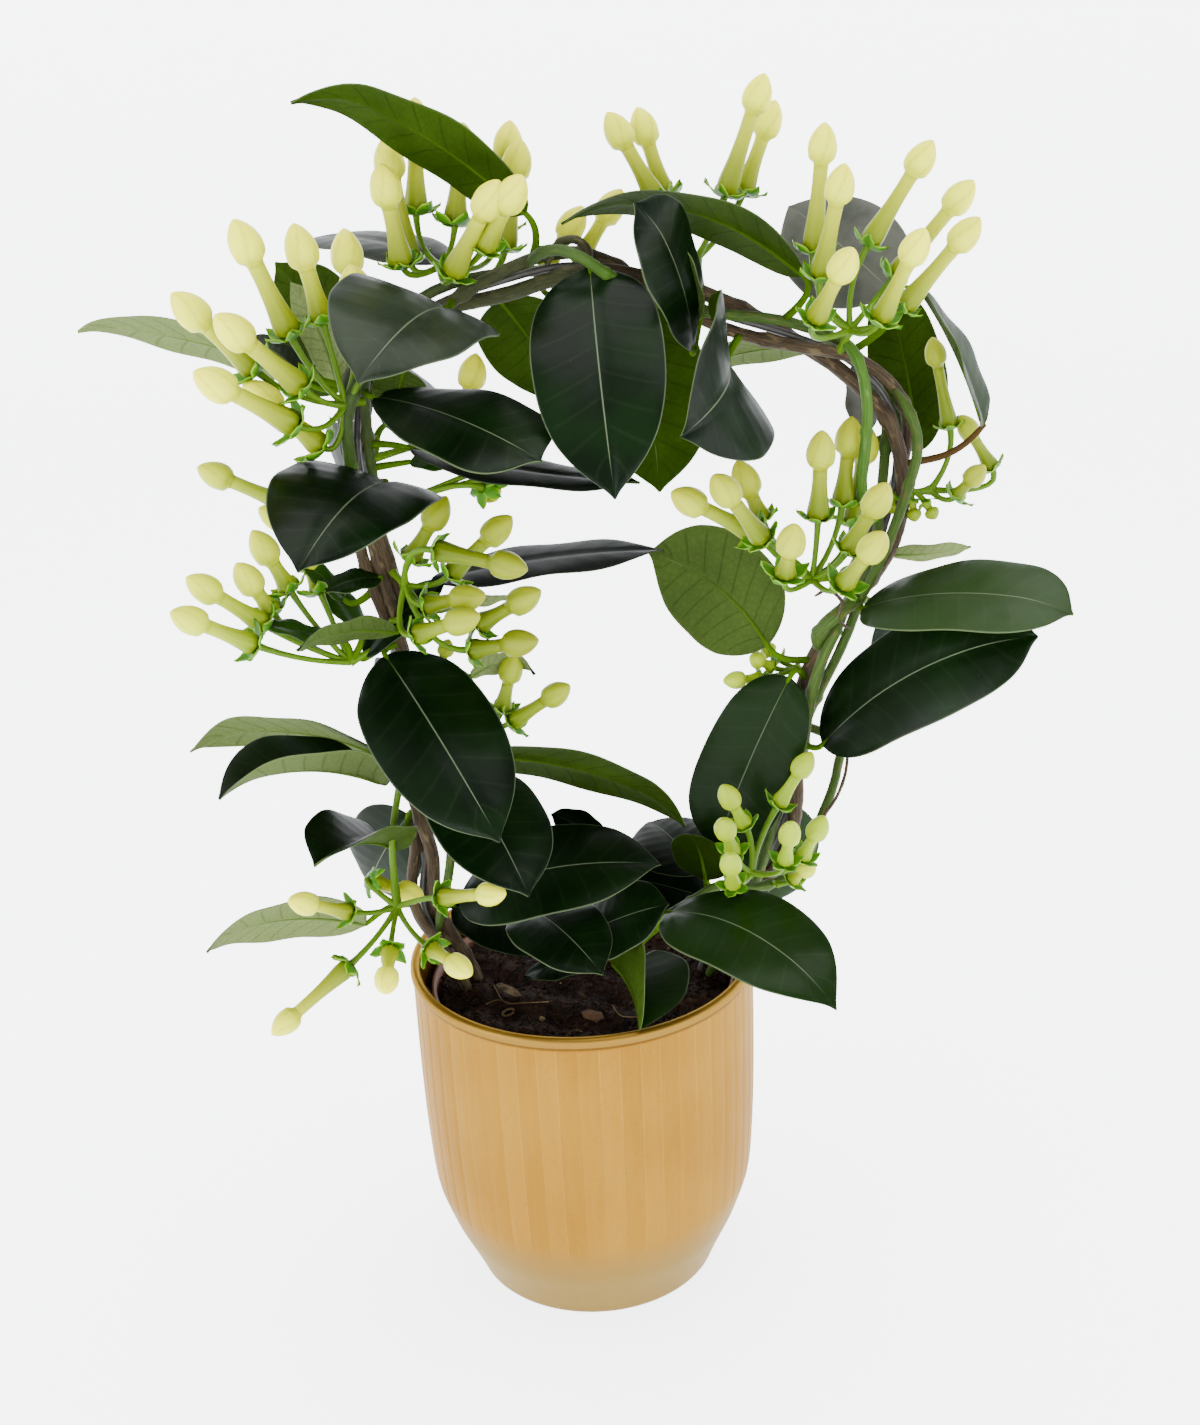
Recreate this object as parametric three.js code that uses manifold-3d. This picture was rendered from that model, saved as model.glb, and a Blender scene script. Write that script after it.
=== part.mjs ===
// Madagascar jasmine trained round a wire hoop, standing in a gilt cover pot.
// Millimetres, +Z up. The origin is the middle of the pot's underside, and the hoop stands over the
// pot's middle in the plane y = 0, with the plant's front towards -Y.

import * as THREE from 'three';
import { mergeVertices } from 'three/addons/utils/BufferGeometryUtils.js';
import Module from 'manifold-3d';

const wasm = await Module();
wasm.setup();

const { CatmullRomCurve3, MathUtils, QuadraticBezierCurve3, Vector3 } = THREE;

// ---------------------------------------------------------------- driving dimensions

const GAP = 0.35;                    // clearance between neighbouring pieces
const WELD = 1e-4;                   // corners closer than this are one corner
const SLIVER = 0.12;                 // faces thinner than this are taken into their neighbours

const POT = {
  height: 131, rim: 65, lip: 4.2, shoulder: 60.4, shoulderHeight: 38, foot: 46.8, wall: 4, floor: 5,
  edge: 1.5, facets: 48,
};
const GROW_POT = { rim: 57.5, height: 121, foot: 41, wall: 1.6, band: 8, step: 5, sides: 28 };
const SOIL = { top: 118, sides: 20, rings: [1, 0.7, 0.35, 0], roughness: 1.3, seed: 7 };
const SOIL_HOLE = { slack: 1.2, sides: 6 };
const CHIPS = { count: 8, inner: 0.25, spread: 0.6, thick: 2.5, tilt: 0.5, above: 0.4 };

const WIRE = { radius: 1.3, sides: 4, steps: 40, foot: 100, leftFoot: -44, rightFoot: 44 };
const STRANDS = {
  stem_old: { radius: 2.5, orbit: 4.6, phase: 20, turns: 5.5, from: 0, to: 0.93, steps: 58 },
  stem_second: { radius: 2.1, orbit: 4.3, phase: 150, turns: 5.5, from: 0, to: 0.74, steps: 46 },
  stem_young: { radius: 1.8, orbit: 4.2, phase: 265, turns: 5.5, from: 0.3, to: 1, steps: 43 },
};
const STRAND_SIDES = 5;

// A blade's outline is [share of its length, share of its greatest width] from its base to its point.
const BLADE = {
  thick: 0.9, least: 0.45,
  outline: [[0, 0], [0.12, 0.75], [0.35, 0.99], [0.62, 0.96], [0.87, 0.6], [1, 0]],
};
const LEAF_STALK = { radius: 1.2, sides: 4, sweep: 0.45, straight: 9, sunk: 3 };

// Of a bud, throat, neck and headLong are shares of its head's radius. A widening of the head is
// [height below the tip as a share of the head's length, radius as a share of the head's, turn].
const BUD = {
  sides: 5, base: 1.2, calyx: 2.4, sepal: 6.6, sepalFoot: 0.9, throat: 0.66, neck: 0.47, headLong: 2.7,
  headShare: 0.6, swell: [0.68, 1, 30], crown: [0.3, 0.68, 60],
};
const PEDICEL = { radius: 0.8, sides: 3, straight: 17, sweep: 0.5 };
const KNOT = { sides: 4, extra: 1.1 };

// ---------------------------------------------------------------- the drawing sheet

// Places on the plant are read on a front drawing in perspective. u runs to the right and v down, on a
// sheet of 1200 x 1425 units, and y is the depth in millimetres, negative towards the viewer.
const SHEET = { width: 1200, height: 1425, reach: 1800, pitch: 21.5, yaw: 1.04, roll: -2.7 };
const EYE = new Vector3(0, -599, 462);
const UP = new Vector3(0, 0, 1);

const [PITCH, YAW, ROLL] = [SHEET.pitch, SHEET.yaw, SHEET.roll].map(MathUtils.degToRad);
const AHEAD = new Vector3(
  Math.sin(YAW) * Math.cos(PITCH), Math.cos(YAW) * Math.cos(PITCH), -Math.sin(PITCH));
const RIGHT = new Vector3(Math.cos(YAW), -Math.sin(YAW), 0);
const ABOVE = new Vector3().crossVectors(RIGHT, AHEAD);

function sightLine(u, v) {
  const du = u - SHEET.width / 2;
  const dv = v - SHEET.height / 2;
  const across = (du * Math.cos(ROLL) + dv * Math.sin(ROLL)) / SHEET.reach;
  const down = (-du * Math.sin(ROLL) + dv * Math.cos(ROLL)) / SHEET.reach;
  return AHEAD.clone().addScaledVector(RIGHT, across).addScaledVector(ABOVE, -down);
}

function seen(u, v, y = 0) {
  const line = sightLine(u, v);
  return EYE.clone().addScaledVector(line, (y - EYE.y) / line.y);
}

// The point on the sight line through (u, v) that lies `long` from `start`, nearer or further away.
function seenAt(start, long, [u, v], side) {
  const line = sightLine(u, v).normalize();
  const offset = EYE.clone().sub(start);
  const middle = -line.dot(offset);
  const spare = middle * middle - offset.lengthSq() + long * long;
  const half = Math.sqrt(Math.max(spare, 0));
  return EYE.clone().addScaledVector(line, side === 'near' ? middle - half : middle + half);
}

// ---------------------------------------------------------------- solids from rings

const MIRRORED_SIDES = [3, 4];       // of the six sides round a blade, the two on its lower face

// A closed solid through rings of equally many points, capped by a fan at each end, or drawn to a tip
// at the far one. spikes[i] holds a point for each side of band i, which draws that side out to it.
// On a flat blade the lower face mirrors the upper one, so that both are split into triangles alike,
// and the end fans start at the middle of the upper face, where no three corners lie in line.
function skin(rings, { spikes = {}, blade = false, tip = null } = {}) {
  const sides = rings[0].length;
  const points = rings.flat();
  const faces = [];
  for (let band = 0; band + 1 < rings.length; band += 1) {
    for (let side = 0; side < sides; side += 1) {
      const next = (side + 1) % sides;
      const corners = [
        band * sides + side, band * sides + next, (band + 1) * sides + next, (band + 1) * sides + side];
      if (spikes[band]) {
        points.push(spikes[band][side]);
        corners.forEach((corner, i) => faces.push([corner, corners[(i + 1) % 4], points.length - 1]));
      } else if (blade && MIRRORED_SIDES.includes(side)) {
        faces.push([corners[0], corners[1], corners[3]], [corners[1], corners[2], corners[3]]);
      } else {
        faces.push([corners[0], corners[1], corners[2]], [corners[0], corners[2], corners[3]]);
      }
    }
  }
  const last = (rings.length - 1) * sides;
  const pivot = blade ? 1 : 0;
  for (let step = 1; step + 1 < sides; step += 1) {
    const [near, far] = [(pivot + step) % sides, (pivot + step + 1) % sides];
    faces.push([pivot, far, near]);
    if (!tip) faces.push([last + pivot, last + near, last + far]);
  }
  if (tip) {
    points.push(tip);
    for (let side = 0; side < sides; side += 1) {
      faces.push([last + side, last + (side + 1) % sides, points.length - 1]);
    }
  }
  return facingOut(points, faces);
}

function facingOut(points, faces) {
  const volume = faces.reduce(
    (sum, [a, b, c]) => sum + points[a].dot(new Vector3().crossVectors(points[b], points[c])), 0);
  const index = faces.flatMap((face) => (volume < 0 ? [face[0], face[2], face[1]] : face));
  const geometry = new THREE.BufferGeometry().setFromPoints(points);
  geometry.setIndex(index);
  return geometry;
}

function toSolid(geometry) {
  const bare = new THREE.BufferGeometry();
  bare.setAttribute('position', geometry.getAttribute('position'));
  bare.setIndex(geometry.index);
  const merged = mergeVertices(bare, WELD);
  const vertProperties = new Float32Array(merged.getAttribute('position').array);
  const triVerts = new Uint32Array(merged.index.array);
  return new wasm.Manifold(new wasm.Mesh({ numProp: 3, vertProperties, triVerts }));
}

function toGeometry(solid) {
  const mesh = solid.getMesh();
  const geometry = new THREE.BufferGeometry();
  geometry.setAttribute('position', new THREE.BufferAttribute(Float32Array.from(mesh.vertProperties), 3));
  geometry.setIndex(Array.from(mesh.triVerts));
  return geometry;
}

// One solid from several that run into each other, without the slivers that a join can leave.
function fuse(solids) {
  const joined = wasm.Manifold.union(solids).simplify(SLIVER);
  const [body] = joined.decompose().sort((a, b) => b.volume() - a.volume());
  return toGeometry(body);
}

function ringOf(centre, side, face, radius, sides, turn = 0) {
  return Array.from({ length: sides }, (_, i) => {
    const angle = turn + (2 * Math.PI * i) / sides;
    return centre.clone()
      .addScaledVector(side, radius * Math.cos(angle))
      .addScaledVector(face, radius * Math.sin(angle));
  });
}

// A stalk through the points, in straight pieces that run into each other at its bends.
function stalk(points, radius, sides) {
  const rings = points.map((point, i) => {
    const heading = points[Math.min(i + 1, points.length - 1)].clone().sub(points[Math.max(i - 1, 0)]);
    const side = new Vector3().crossVectors(heading, UP);
    if (side.length() < WELD) side.set(1, 0, 0);
    const face = new Vector3().crossVectors(side, heading).normalize();
    return ringOf(point, side.normalize(), face, radius, sides).map((corner) => corner.toArray());
  });
  return rings.slice(1).map((ring, i) => wasm.Manifold.hull([...rings[i], ...ring]));
}

function tube(points, radius, sides, steps) {
  const curve = new CatmullRomCurve3(points);
  const frames = curve.computeFrenetFrames(steps);
  const rings = frames.normals.map((normal, i) =>
    ringOf(curve.getPointAt(i / steps), normal, frames.binormals[i], radius, sides));
  return skin(rings);
}

// ---------------------------------------------------------------- hoop and twining stems

// The hoop's line from its left foot over the top to its right foot.
const HOOP_LINE = [
  [424, 905], [427, 840], [414, 740], [396, 655], [380, 580], [364, 500], [357, 430], [372, 360],
  [420, 314], [500, 281], [580, 266], [650, 288], [715, 312], [790, 335], [852, 362], [892, 410],
  [896, 470], [876, 550], [842, 615], [815, 690], [800, 765], [780, 830], [748, 890], [726, 925]];

const hoopPoints = [
  new Vector3(WIRE.leftFoot, 0, WIRE.foot),
  new Vector3(WIRE.leftFoot, 0, SOIL.top),
  ...HOOP_LINE.map(([u, v]) => seen(u, v)),
  new Vector3(WIRE.rightFoot, 0, SOIL.top),
  new Vector3(WIRE.rightFoot, 0, WIRE.foot)];
const hoopCurve = new CatmullRomCurve3(hoopPoints);

// A strand winds round the hoop's line at its own orbit and phase, and stands upright in the soil.
const WINDING = { from: 0.06, to: 0.94 };

function strandPoints({ orbit, phase, turns, from, to, steps }) {
  const depthAxis = new Vector3(0, 1, 0);
  return Array.from({ length: steps + 1 }, (_, i) => {
    const share = from + ((to - from) * i) / steps;
    const outward = new Vector3().crossVectors(hoopCurve.getTangentAt(share), depthAxis).normalize();
    const wound = MathUtils.clamp(share, WINDING.from, WINDING.to);
    const angle = MathUtils.degToRad(phase) + 2 * Math.PI * turns * wound;
    return hoopCurve.getPointAt(share)
      .addScaledVector(outward, orbit * Math.cos(angle))
      .addScaledVector(depthAxis, orbit * Math.sin(angle));
  });
}

const STEM_SAMPLES = 400;

const sampled = ({ points, radius }) =>
  new CatmullRomCurve3(points).getSpacedPoints(STEM_SAMPLES).map((point) => ({ point, radius }));

const stems = Object.entries(STRANDS).map(([name, strand]) => ({
  name, radius: strand.radius, steps: strand.steps, points: strandPoints(strand) }));
const stemSamples = stems.flatMap(sampled);

// Where a stalk that comes from `place` meets the nearest stem, just clear of its bark.
function rootFor(place) {
  const nearest = stemSamples.reduce((best, sample) => {
    const far = sample.point.distanceTo(place) - sample.radius;
    return far < best.far ? { far, ...sample } : best;
  }, { far: Infinity });
  const outward = place.clone().sub(nearest.point).normalize();
  return nearest.point.clone().addScaledVector(outward, nearest.radius + GAP);
}

// A side shoot leaves the stems on the right, and hangs across the pot's front to the left.
const LOW_SHOOT = [
  [840, 742, -1], [838, 765, -3], [832, 790, -7], [821, 817, -11], [812, 845, -15], [795, 872, -19],
  [758, 887, -22], [718, 886, -24], [690, 902, -25], [656, 920, -25], [615, 931, -22], [584, 935, -18]];
const shootPoints = LOW_SHOOT.map((place) => seen(...place));
const lowShoot = {
  name: 'low_shoot', radius: 1.7, steps: 15, points: [rootFor(shootPoints[0]), ...shootPoints] };
stems.push(lowShoot);
stemSamples.push(...sampled(lowShoot));

// ---------------------------------------------------------------- leaves

// A leaf's upper face is turned by `turn` from facing the viewer towards facing up.
function leafFrame(base, tip, turn) {
  const along = tip.clone().sub(base).normalize();
  const viewer = EYE.clone().sub(base).normalize();
  const open = viewer.addScaledVector(along, -viewer.dot(along)).normalize();
  const lift = new Vector3().crossVectors(along, open);
  if (lift.dot(ABOVE) + 0.5 * lift.dot(RIGHT) < 0) lift.negate();
  const angle = MathUtils.degToRad(turn);
  const face = open.clone().multiplyScalar(Math.cos(angle)).addScaledVector(lift, Math.sin(angle));
  const side = lift.clone().multiplyScalar(Math.cos(angle)).addScaledVector(open, -Math.sin(angle));
  return { along, face, side };
}

function bladeRing(centre, side, face, half, thick, cup) {
  const fold = MathUtils.degToRad(cup);
  const edge = (sign) => centre.clone()
    .addScaledVector(side, sign * half * Math.cos(fold))
    .addScaledVector(face, half * Math.sin(fold));
  const middle = [edge(-1), centre, edge(1)];
  const upper = middle.map((point) => point.clone().addScaledVector(face, thick / 2));
  const lower = middle.map((point) => point.clone().addScaledVector(face, -thick / 2));
  return [...upper, ...lower.reverse()];
}

// A point of the blade's middle line with the frame there. The blade arches by `bow` and `sway`, turns
// by `twist` along its length, and its last quarter hooks down by `hook`.
const HOOK_FROM = 0.75;

function spineOf({ turn, twist = 0, bow = 0, sway = 0, hook = 0 }, start, end, share) {
  const frame = leafFrame(start, end, turn + twist * (share - 0.5));
  const arch = 4 * share * (1 - share);
  const curl = hook * (Math.max(share - HOOK_FROM, 0) / (1 - HOOK_FROM)) ** 2;
  const point = start.clone().lerp(end, share)
    .addScaledVector(frame.face, bow * arch - curl)
    .addScaledVector(frame.side, sway * arch);
  return { point, frame };
}

// A leaf with its stalk. Its blade folds up by `cup` from the first tenth on, and `via` lists places
// that the stalk passes from the blade back to the stem.
const HEADING_STEP = 0.02;
const CUP_FULL = 0.1;

function leaf(shape, root = null) {
  const { base, tip, side, long, wide, turn, cup = 0, via = [] } = shape;
  const start = seen(...base);
  const end = seenAt(start, long, tip, side);
  const spine = (share) => spineOf(shape, start, end, MathUtils.clamp(share, 0, 1));
  const headingAt = (share) =>
    spine(share + HEADING_STEP).point.sub(spine(share - HEADING_STEP).point).normalize();

  const rings = BLADE.outline.map(([share, width]) => {
    const { point, frame } = spine(share);
    const heading = headingAt(share);
    const face = frame.face.addScaledVector(heading, -frame.face.dot(heading)).normalize();
    const across = new Vector3().crossVectors(heading, face);
    if (across.dot(frame.side) < 0) across.negate();
    const half = Math.max((wide / 2) * width, BLADE.least);
    return bladeRing(point, across, face, half, BLADE.thick, cup * Math.min(share / CUP_FULL, 1));
  });
  const blade = toSolid(skin(rings, { blade: true }));

  const passes = via.map((place) => seen(...place));
  const rootPoint = root ?? rootFor(passes.at(-1) ?? start);
  const heading = headingAt(0);
  const reach = rootPoint.distanceTo(start);
  const elbow = start.clone().addScaledVector(heading, -LEAF_STALK.sweep * reach);
  const sunk = start.clone().addScaledVector(heading, LEAF_STALK.sunk);
  const line = passes.length
    ? [rootPoint, ...passes.reverse(), sunk]
    : new QuadraticBezierCurve3(rootPoint, elbow, sunk).getPoints(reach > LEAF_STALK.straight ? 2 : 1);
  return [blade, ...stalk(line, LEAF_STALK.radius, LEAF_STALK.sides)];
}

// ---------------------------------------------------------------- buds and umbels

// One bud on its pedicel: a five-sided tube with a flared throat, a swollen twisted head and a point,
// over a calyx of five sepals that are drawn out from the side faces of its lowest band.
function bud(hub, calyx, tip, head) {
  const axis = tip.clone().sub(calyx).normalize();
  const long = calyx.distanceTo(tip);
  const side = new Vector3().crossVectors(axis, UP).normalize();
  const face = new Vector3().crossVectors(side, axis);
  const headLong = Math.min(BUD.headLong * head, BUD.headShare * long);
  const stations = [
    [0, BUD.base, 0], [BUD.calyx, BUD.throat * head, 0], [long - headLong, BUD.neck * head, 0]];
  for (const [below, swell, twist] of [BUD.swell, BUD.crown]) {
    stations.push([long - below * headLong, swell * head, twist]);
  }
  const rings = stations.map(([height, radius, twist]) => {
    const centre = calyx.clone().addScaledVector(axis, height);
    return ringOf(centre, side, face, radius, BUD.sides, MathUtils.degToRad(twist));
  });
  const sepalFoot = calyx.clone().addScaledVector(axis, BUD.sepalFoot * BUD.calyx);
  const sepals = ringOf(sepalFoot, side, face, BUD.sepal, BUD.sides, Math.PI / BUD.sides);
  const flower = toSolid(skin(rings, { spikes: [sepals], tip }));

  const elbow = calyx.clone().addScaledVector(axis, -PEDICEL.sweep * hub.distanceTo(calyx));
  const sunk = calyx.clone().addScaledVector(axis, BUD.calyx);
  const bends = hub.distanceTo(calyx) > PEDICEL.straight ? 2 : 1;
  const pedicel = new QuadraticBezierCurve3(hub, elbow, sunk).getPoints(bends);
  return [flower, ...stalk(pedicel, PEDICEL.radius, PEDICEL.sides)];
}

// A hub on its stalk, with buds and young leaves that start inside the hub, fused into one solid.
// A bud is [calyx u, calyx v, tip u, tip v, calyx depth, tip depth]: the calyx depth is counted from
// the hub's, and the tip depth from the calyx's.
function spray({ hub, via = [], thick = 1.4, head = 4.5, buds = [], leaves = [] }) {
  const centre = seen(...hub);
  const knot = toSolid(new THREE.OctahedronGeometry(thick + KNOT.extra, 0).translate(...centre));
  const passes = via.map((place) => seen(...place));
  const root = rootFor(passes.at(-1) ?? centre);
  const peduncle = stalk([root, ...passes.reverse(), centre], thick, KNOT.sides);
  const flowers = buds.flatMap(([calyxU, calyxV, tipU, tipV, deep, lean]) => {
    const depth = hub[2] + deep;
    return bud(centre, seen(calyxU, calyxV, depth), seen(tipU, tipV, depth + lean), head);
  });
  return fuse([knot, ...peduncle, ...flowers, ...leaves.flatMap((shape) => leaf(shape, centre))]);
}

// ---------------------------------------------------------------- where each leaf grows

const LEAVES = {
  leaf_top_left_arch: {
    base: [526, 214, -8], tip: [300, 82], side: 'near', long: 79, wide: 36, turn: 117, twist: -10, bow: 6,
    hook: 7 },
  leaf_far_left_upper: {
    base: [298, 372, 10], tip: [80, 323], side: 'far', long: 80, wide: 34, turn: 108, twist: -14, bow: 3,
    hook: 3 },
  leaf_left_back_up: {
    base: [345, 388, 14], tip: [276, 262], side: 'far', long: 56, wide: 36, turn: 150, bow: 6 },
  leaf_top_left_back: {
    base: [445, 265, 16], tip: [306, 240], side: 'far', long: 66, wide: 36, turn: 74, bow: 4 },
  leaf_heart_top_left: {
    base: [445, 308, -20], tip: [358, 382], side: 'near', long: 62, wide: 50, turn: 30, bow: 7, cup: 12 },
  leaf_dark_left_mid: {
    base: [374, 397, -12], tip: [541, 461], side: 'near', long: 76, wide: 38, turn: 48, bow: 4 },
  leaf_centre_big: {
    base: [590, 268, -12], tip: [615, 499], side: 'near', long: 84, wide: 42, turn: -5, bow: 6, cup: 6 },
  leaf_centre_shelf: {
    base: [410, 448, -6], tip: [640, 482], side: 'near', long: 78, wide: 34, turn: 74, bow: -2 },
  leaf_behind_centre: {
    base: [634, 300, 10], tip: [660, 492], side: 'far', long: 68, wide: 42, turn: 165, bow: 4 },
  leaf_behind_centre_left: {
    base: [500, 300, 10], tip: [570, 402], side: 'far', long: 56, wide: 34, turn: 160, bow: 3 },
  leaf_top_folded: {
    base: [692, 350, -14], tip: [643, 202], side: 'near', long: 56, wide: 34, turn: 58, bow: 4, hook: 3 },
  leaf_top_long: {
    base: [803, 275, -7], tip: [564, 211], side: 'near', long: 75.4, wide: 36, turn: 108, twist: -15,
    bow: 11, hook: 4 },
  leaf_grey_back: {
    base: [892, 292, 15], tip: [789, 206], side: 'far', long: 60, wide: 40, turn: 15, bow: 4, cup: -8 },
  leaf_right_narrow: {
    base: [984, 425, -11], tip: [919, 288], side: 'near', long: 52, wide: 26, turn: 80, twist: 24,
    bow: 2, cup: 12, via: [[966, 443, -9], [945, 455, -6]] },
  leaf_right_net: {
    base: [918, 452, 18], tip: [883, 277], side: 'far', long: 62, wide: 30, turn: 150, bow: 4 },
  leaf_heart_right_top: {
    base: [728, 362, -14], tip: [681, 437], side: 'near', long: 56, wide: 52, turn: -40, bow: 6, cup: 15 },
  leaf_back_long: {
    base: [835, 345, 18], tip: [662, 378], side: 'far', long: 66, wide: 34, turn: 96, bow: 4 },
  leaf_gap_dark: {
    base: [430, 582, 12], tip: [664, 550], side: 'far', long: 84, wide: 34, turn: 70, bow: 3 },
  leaf_light_green: {
    base: [768, 646, -2], tip: [648, 552], side: 'far', long: 60, wide: 39, turn: 165, bow: 3, sway: -8 },
  leaf_right_mid: {
    base: [863, 608, -6], tip: [1071, 607], side: 'near', long: 78, wide: 38, turn: 52, bow: 6, hook: 3 },
  leaf_right_dark: {
    base: [822, 745, -8], tip: [1033, 634], side: 'near', long: 90, wide: 40, turn: 28, bow: 4, sway: 6,
    hook: 3 },
  leaf_centre_right: {
    base: [790, 677, -9.5], tip: [716, 850], side: 'far', long: 69, wide: 35, turn: -8, bow: 3, sway: -1 },
  leaf_low_centre: {
    base: [470, 757, 10], tip: [688, 816], side: 'far', long: 84, wide: 36, turn: 110, bow: 7, hook: 4 },
  leaf_big_dark_left: {
    base: [385, 655, -12], tip: [500, 842], side: 'near', long: 86, wide: 43, turn: 8, bow: 6, cup: -6 },
  leaf_low_left_dark: {
    base: [455, 772, -10], tip: [529, 896], side: 'near', long: 62, wide: 40, turn: 22, bow: 5 },
  leaf_low_shelf: {
    base: [460, 900, -10], tip: [661, 864], side: 'near', long: 79, wide: 42, turn: 42, bow: 8 },
  leaf_low_right_back: {
    base: [783, 802, 15], tip: [762, 908], side: 'far', long: 46, wide: 34, turn: 30, bow: 4 },
  leaf_far_left_low: {
    base: [366, 924, -4], tip: [204, 944], side: 'near', long: 64, wide: 34, turn: 113, bow: 6, hook: 3,
    via: [[388, 908, -6]] },
  leaf_heart_left_mid: {
    base: [385, 482, -16], tip: [298, 572], side: 'near', long: 62, wide: 50, turn: 32, bow: 7, cup: 12 },
};

// ---------------------------------------------------------------- where each umbel and leafy twig grows

const SPRAYS = {
  umbel_left_upper: {
    hub: [345, 405, -10], head: 5.5,
    buds: [
      [290, 335, 233, 219, -6, -6], [323, 322, 293, 223, 2, 2], [255, 370, 171, 293, -4, -6],
      [302, 388, 214, 315, -16, -12], [295, 425, 193, 372, -18, -14], [322, 447, 243, 382, -4, -4],
      [355, 320, 344, 228, 10, 6], [365, 330, 350, 264, 2, 2]] },
  umbel_top_left: {
    hub: [440, 266, -2], head: 5.1,
    buds: [
      [402, 265, 380, 163, -8, -6], [410, 262, 384, 137, 8, 4], [416, 212, 415, 97, 18, 6],
      [455, 224, 463, 122, 17, 6], [452, 275, 499, 180, -16, -12], [484, 248, 522, 175, -18, -12],
      [505, 250, 520, 138, 20, 6], [500, 230, 510, 120, 28, 8]] },
  umbel_top_centre: {
    hub: [556, 299, 18], head: 4.8,
    buds: [[541, 279, 583, 206, 0, 2], [578, 262, 622, 189, 4, 4]] },
  umbel_top_right: {
    hub: [697, 258, 19], head: 4.8,
    buds: [
      [657, 200, 607, 112, 0, 4], [665, 197, 637, 107, 8, 6],
      [725, 195, 765, 73, -2, 0], [743, 193, 776, 100, 8, 4]] },
  umbel_right_upper: {
    hub: [850, 330, -12], head: 4.7,
    buds: [
      [813, 252, 825, 122, 4, 2], [820, 278, 845, 163, -8, -6], [815, 320, 853, 248, -22, -16],
      [868, 245, 933, 140, 4, 4], [893, 278, 974, 180, 2, 2], [880, 320, 925, 228, -14, -12],
      [903, 308, 980, 217, -6, -6]] },
  umbel_right_outer: {
    hub: [930, 490, 0], head: 3.7,
    buds: [[950, 427, 932, 337, 2, 0], [992, 468, 960, 415, 3, 0], [955, 497, 985, 465, -4, -2]] },
  umbel_right_mid: {
    hub: [812, 579, -16], head: 4.9,
    buds: [
      [757, 535, 671, 492, -6, -8], [763, 540, 713, 475, -14, -10], [762, 520, 737, 460, 2, 2],
      [818, 518, 822, 430, -4, -4], [842, 505, 852, 416, 6, 4], [853, 525, 868, 425, 10, 8],
      [848, 550, 888, 483, -10, -8], [785, 575, 795, 524, -20, -8], [843, 585, 885, 533, -16, -14]] },
  umbel_left_mid_back: {
    hub: [375, 525, 8], head: 4.8,
    buds: [[295, 508, 197, 467, 4, 4], [330, 545, 258, 508, 4, 2]] },
  umbel_left_lower: {
    hub: [350, 662, -10], head: 4.9,
    buds: [
      [290, 590, 252, 530, 2, 2], [272, 612, 236, 563, -4, -4], [265, 625, 186, 577, -10, -8],
      [255, 645, 170, 612, -18, -12], [320, 592, 298, 540, 8, 6]],
    leaves: [
      { base: [340, 640, -12], tip: [258, 622], side: 'near', long: 30, wide: 12, turn: 60 },
      { base: [360, 630, -6], tip: [322, 572], side: 'far', long: 30, wide: 12, turn: 40 }] },
  umbel_left_inner: {
    hub: [405, 585, -12], head: 4.8,
    buds: [
      [410, 560, 447, 496, 8, 4], [450, 575, 512, 516, 2, 0], [435, 550, 528, 570, -14, -10],
      [425, 605, 486, 595, -8, -6], [415, 635, 480, 615, -16, -8], [478, 625, 541, 590, -2, -4],
      [470, 650, 539, 640, -8, -6]] },
  umbel_left_low_back: {
    hub: [480, 730, 8], head: 4.4,
    buds: [[502, 710, 515, 652, 0, 0], [512, 722, 570, 685, -4, -6]] },
  umbel_low_left: {
    hub: [397, 907, -24], via: [[396, 870, -14]], head: 4.6,
    buds: [
      [350, 912, 288, 900, -8, -12], [350, 965, 272, 1035, -14, -14], [390, 950, 385, 993, -18, -22],
      [430, 948, 472, 975, -14, -14], [440, 897, 506, 893, -10, -14]] },
  umbel_low_right: {
    hub: [751, 873, -30], head: 3.9,
    buds: [
      [745, 825, 722, 785, 0, -4], [733, 852, 722, 820, -8, -12], [733, 885, 730, 855, -14, -12],
      [778, 805, 812, 752, 2, -2], [785, 862, 792, 822, -12, -8], [802, 858, 825, 816, -4, -4]] },
  umbel_right_young: {
    hub: [797, 668, 8], head: 3.3,
    buds: [[772, 667, 750, 656, -2, -2], [760, 678, 723, 681, -6, -4], [780, 660, 762, 645, 4, 2]] },
  twig_far_left: {
    hub: [388, 775, -3], thick: 1.2,
    leaves: [
      {
        base: [385, 757, 2], tip: [192, 741], side: 'far', long: 74, wide: 36, turn: 106, bow: 7,
        hook: 4 },
      {
        base: [383, 783, -6], tip: [219, 790], side: 'near', long: 64, wide: 36, turn: 77, bow: 6,
        hook: 3, cup: 34 }] },
  twig_left_mid: {
    hub: [400, 620, -8], thick: 1.2,
    leaves: [
      { base: [395, 632, -12], tip: [296, 650], side: 'near', long: 50, wide: 14, turn: 120, bow: 4 }] },
  twig_low_left: {
    hub: [404, 832, -2], thick: 1.2,
    leaves: [
      {
        base: [395, 848, -8], tip: [314, 866], side: 'near', long: 50, wide: 36, turn: 70, bow: 5,
        cup: 30 },
      { base: [408, 815, 12], tip: [370, 885], side: 'far', long: 52, wide: 34, turn: 20, bow: 4 }] },
  twig_low_centre: {
    hub: [555, 932, -21], thick: 1.2,
    leaves: [
      { base: [526, 908, -14], tip: [603, 975], side: 'near', long: 52, wide: 32, turn: 28, bow: 5 },
      { base: [582, 936, -25], tip: [669, 904], side: 'near', long: 38, wide: 31, turn: 40, bow: 2 }] },
  twig_low_front: {
    hub: [654, 930, -31], thick: 1.3,
    leaves: [
      {
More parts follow.
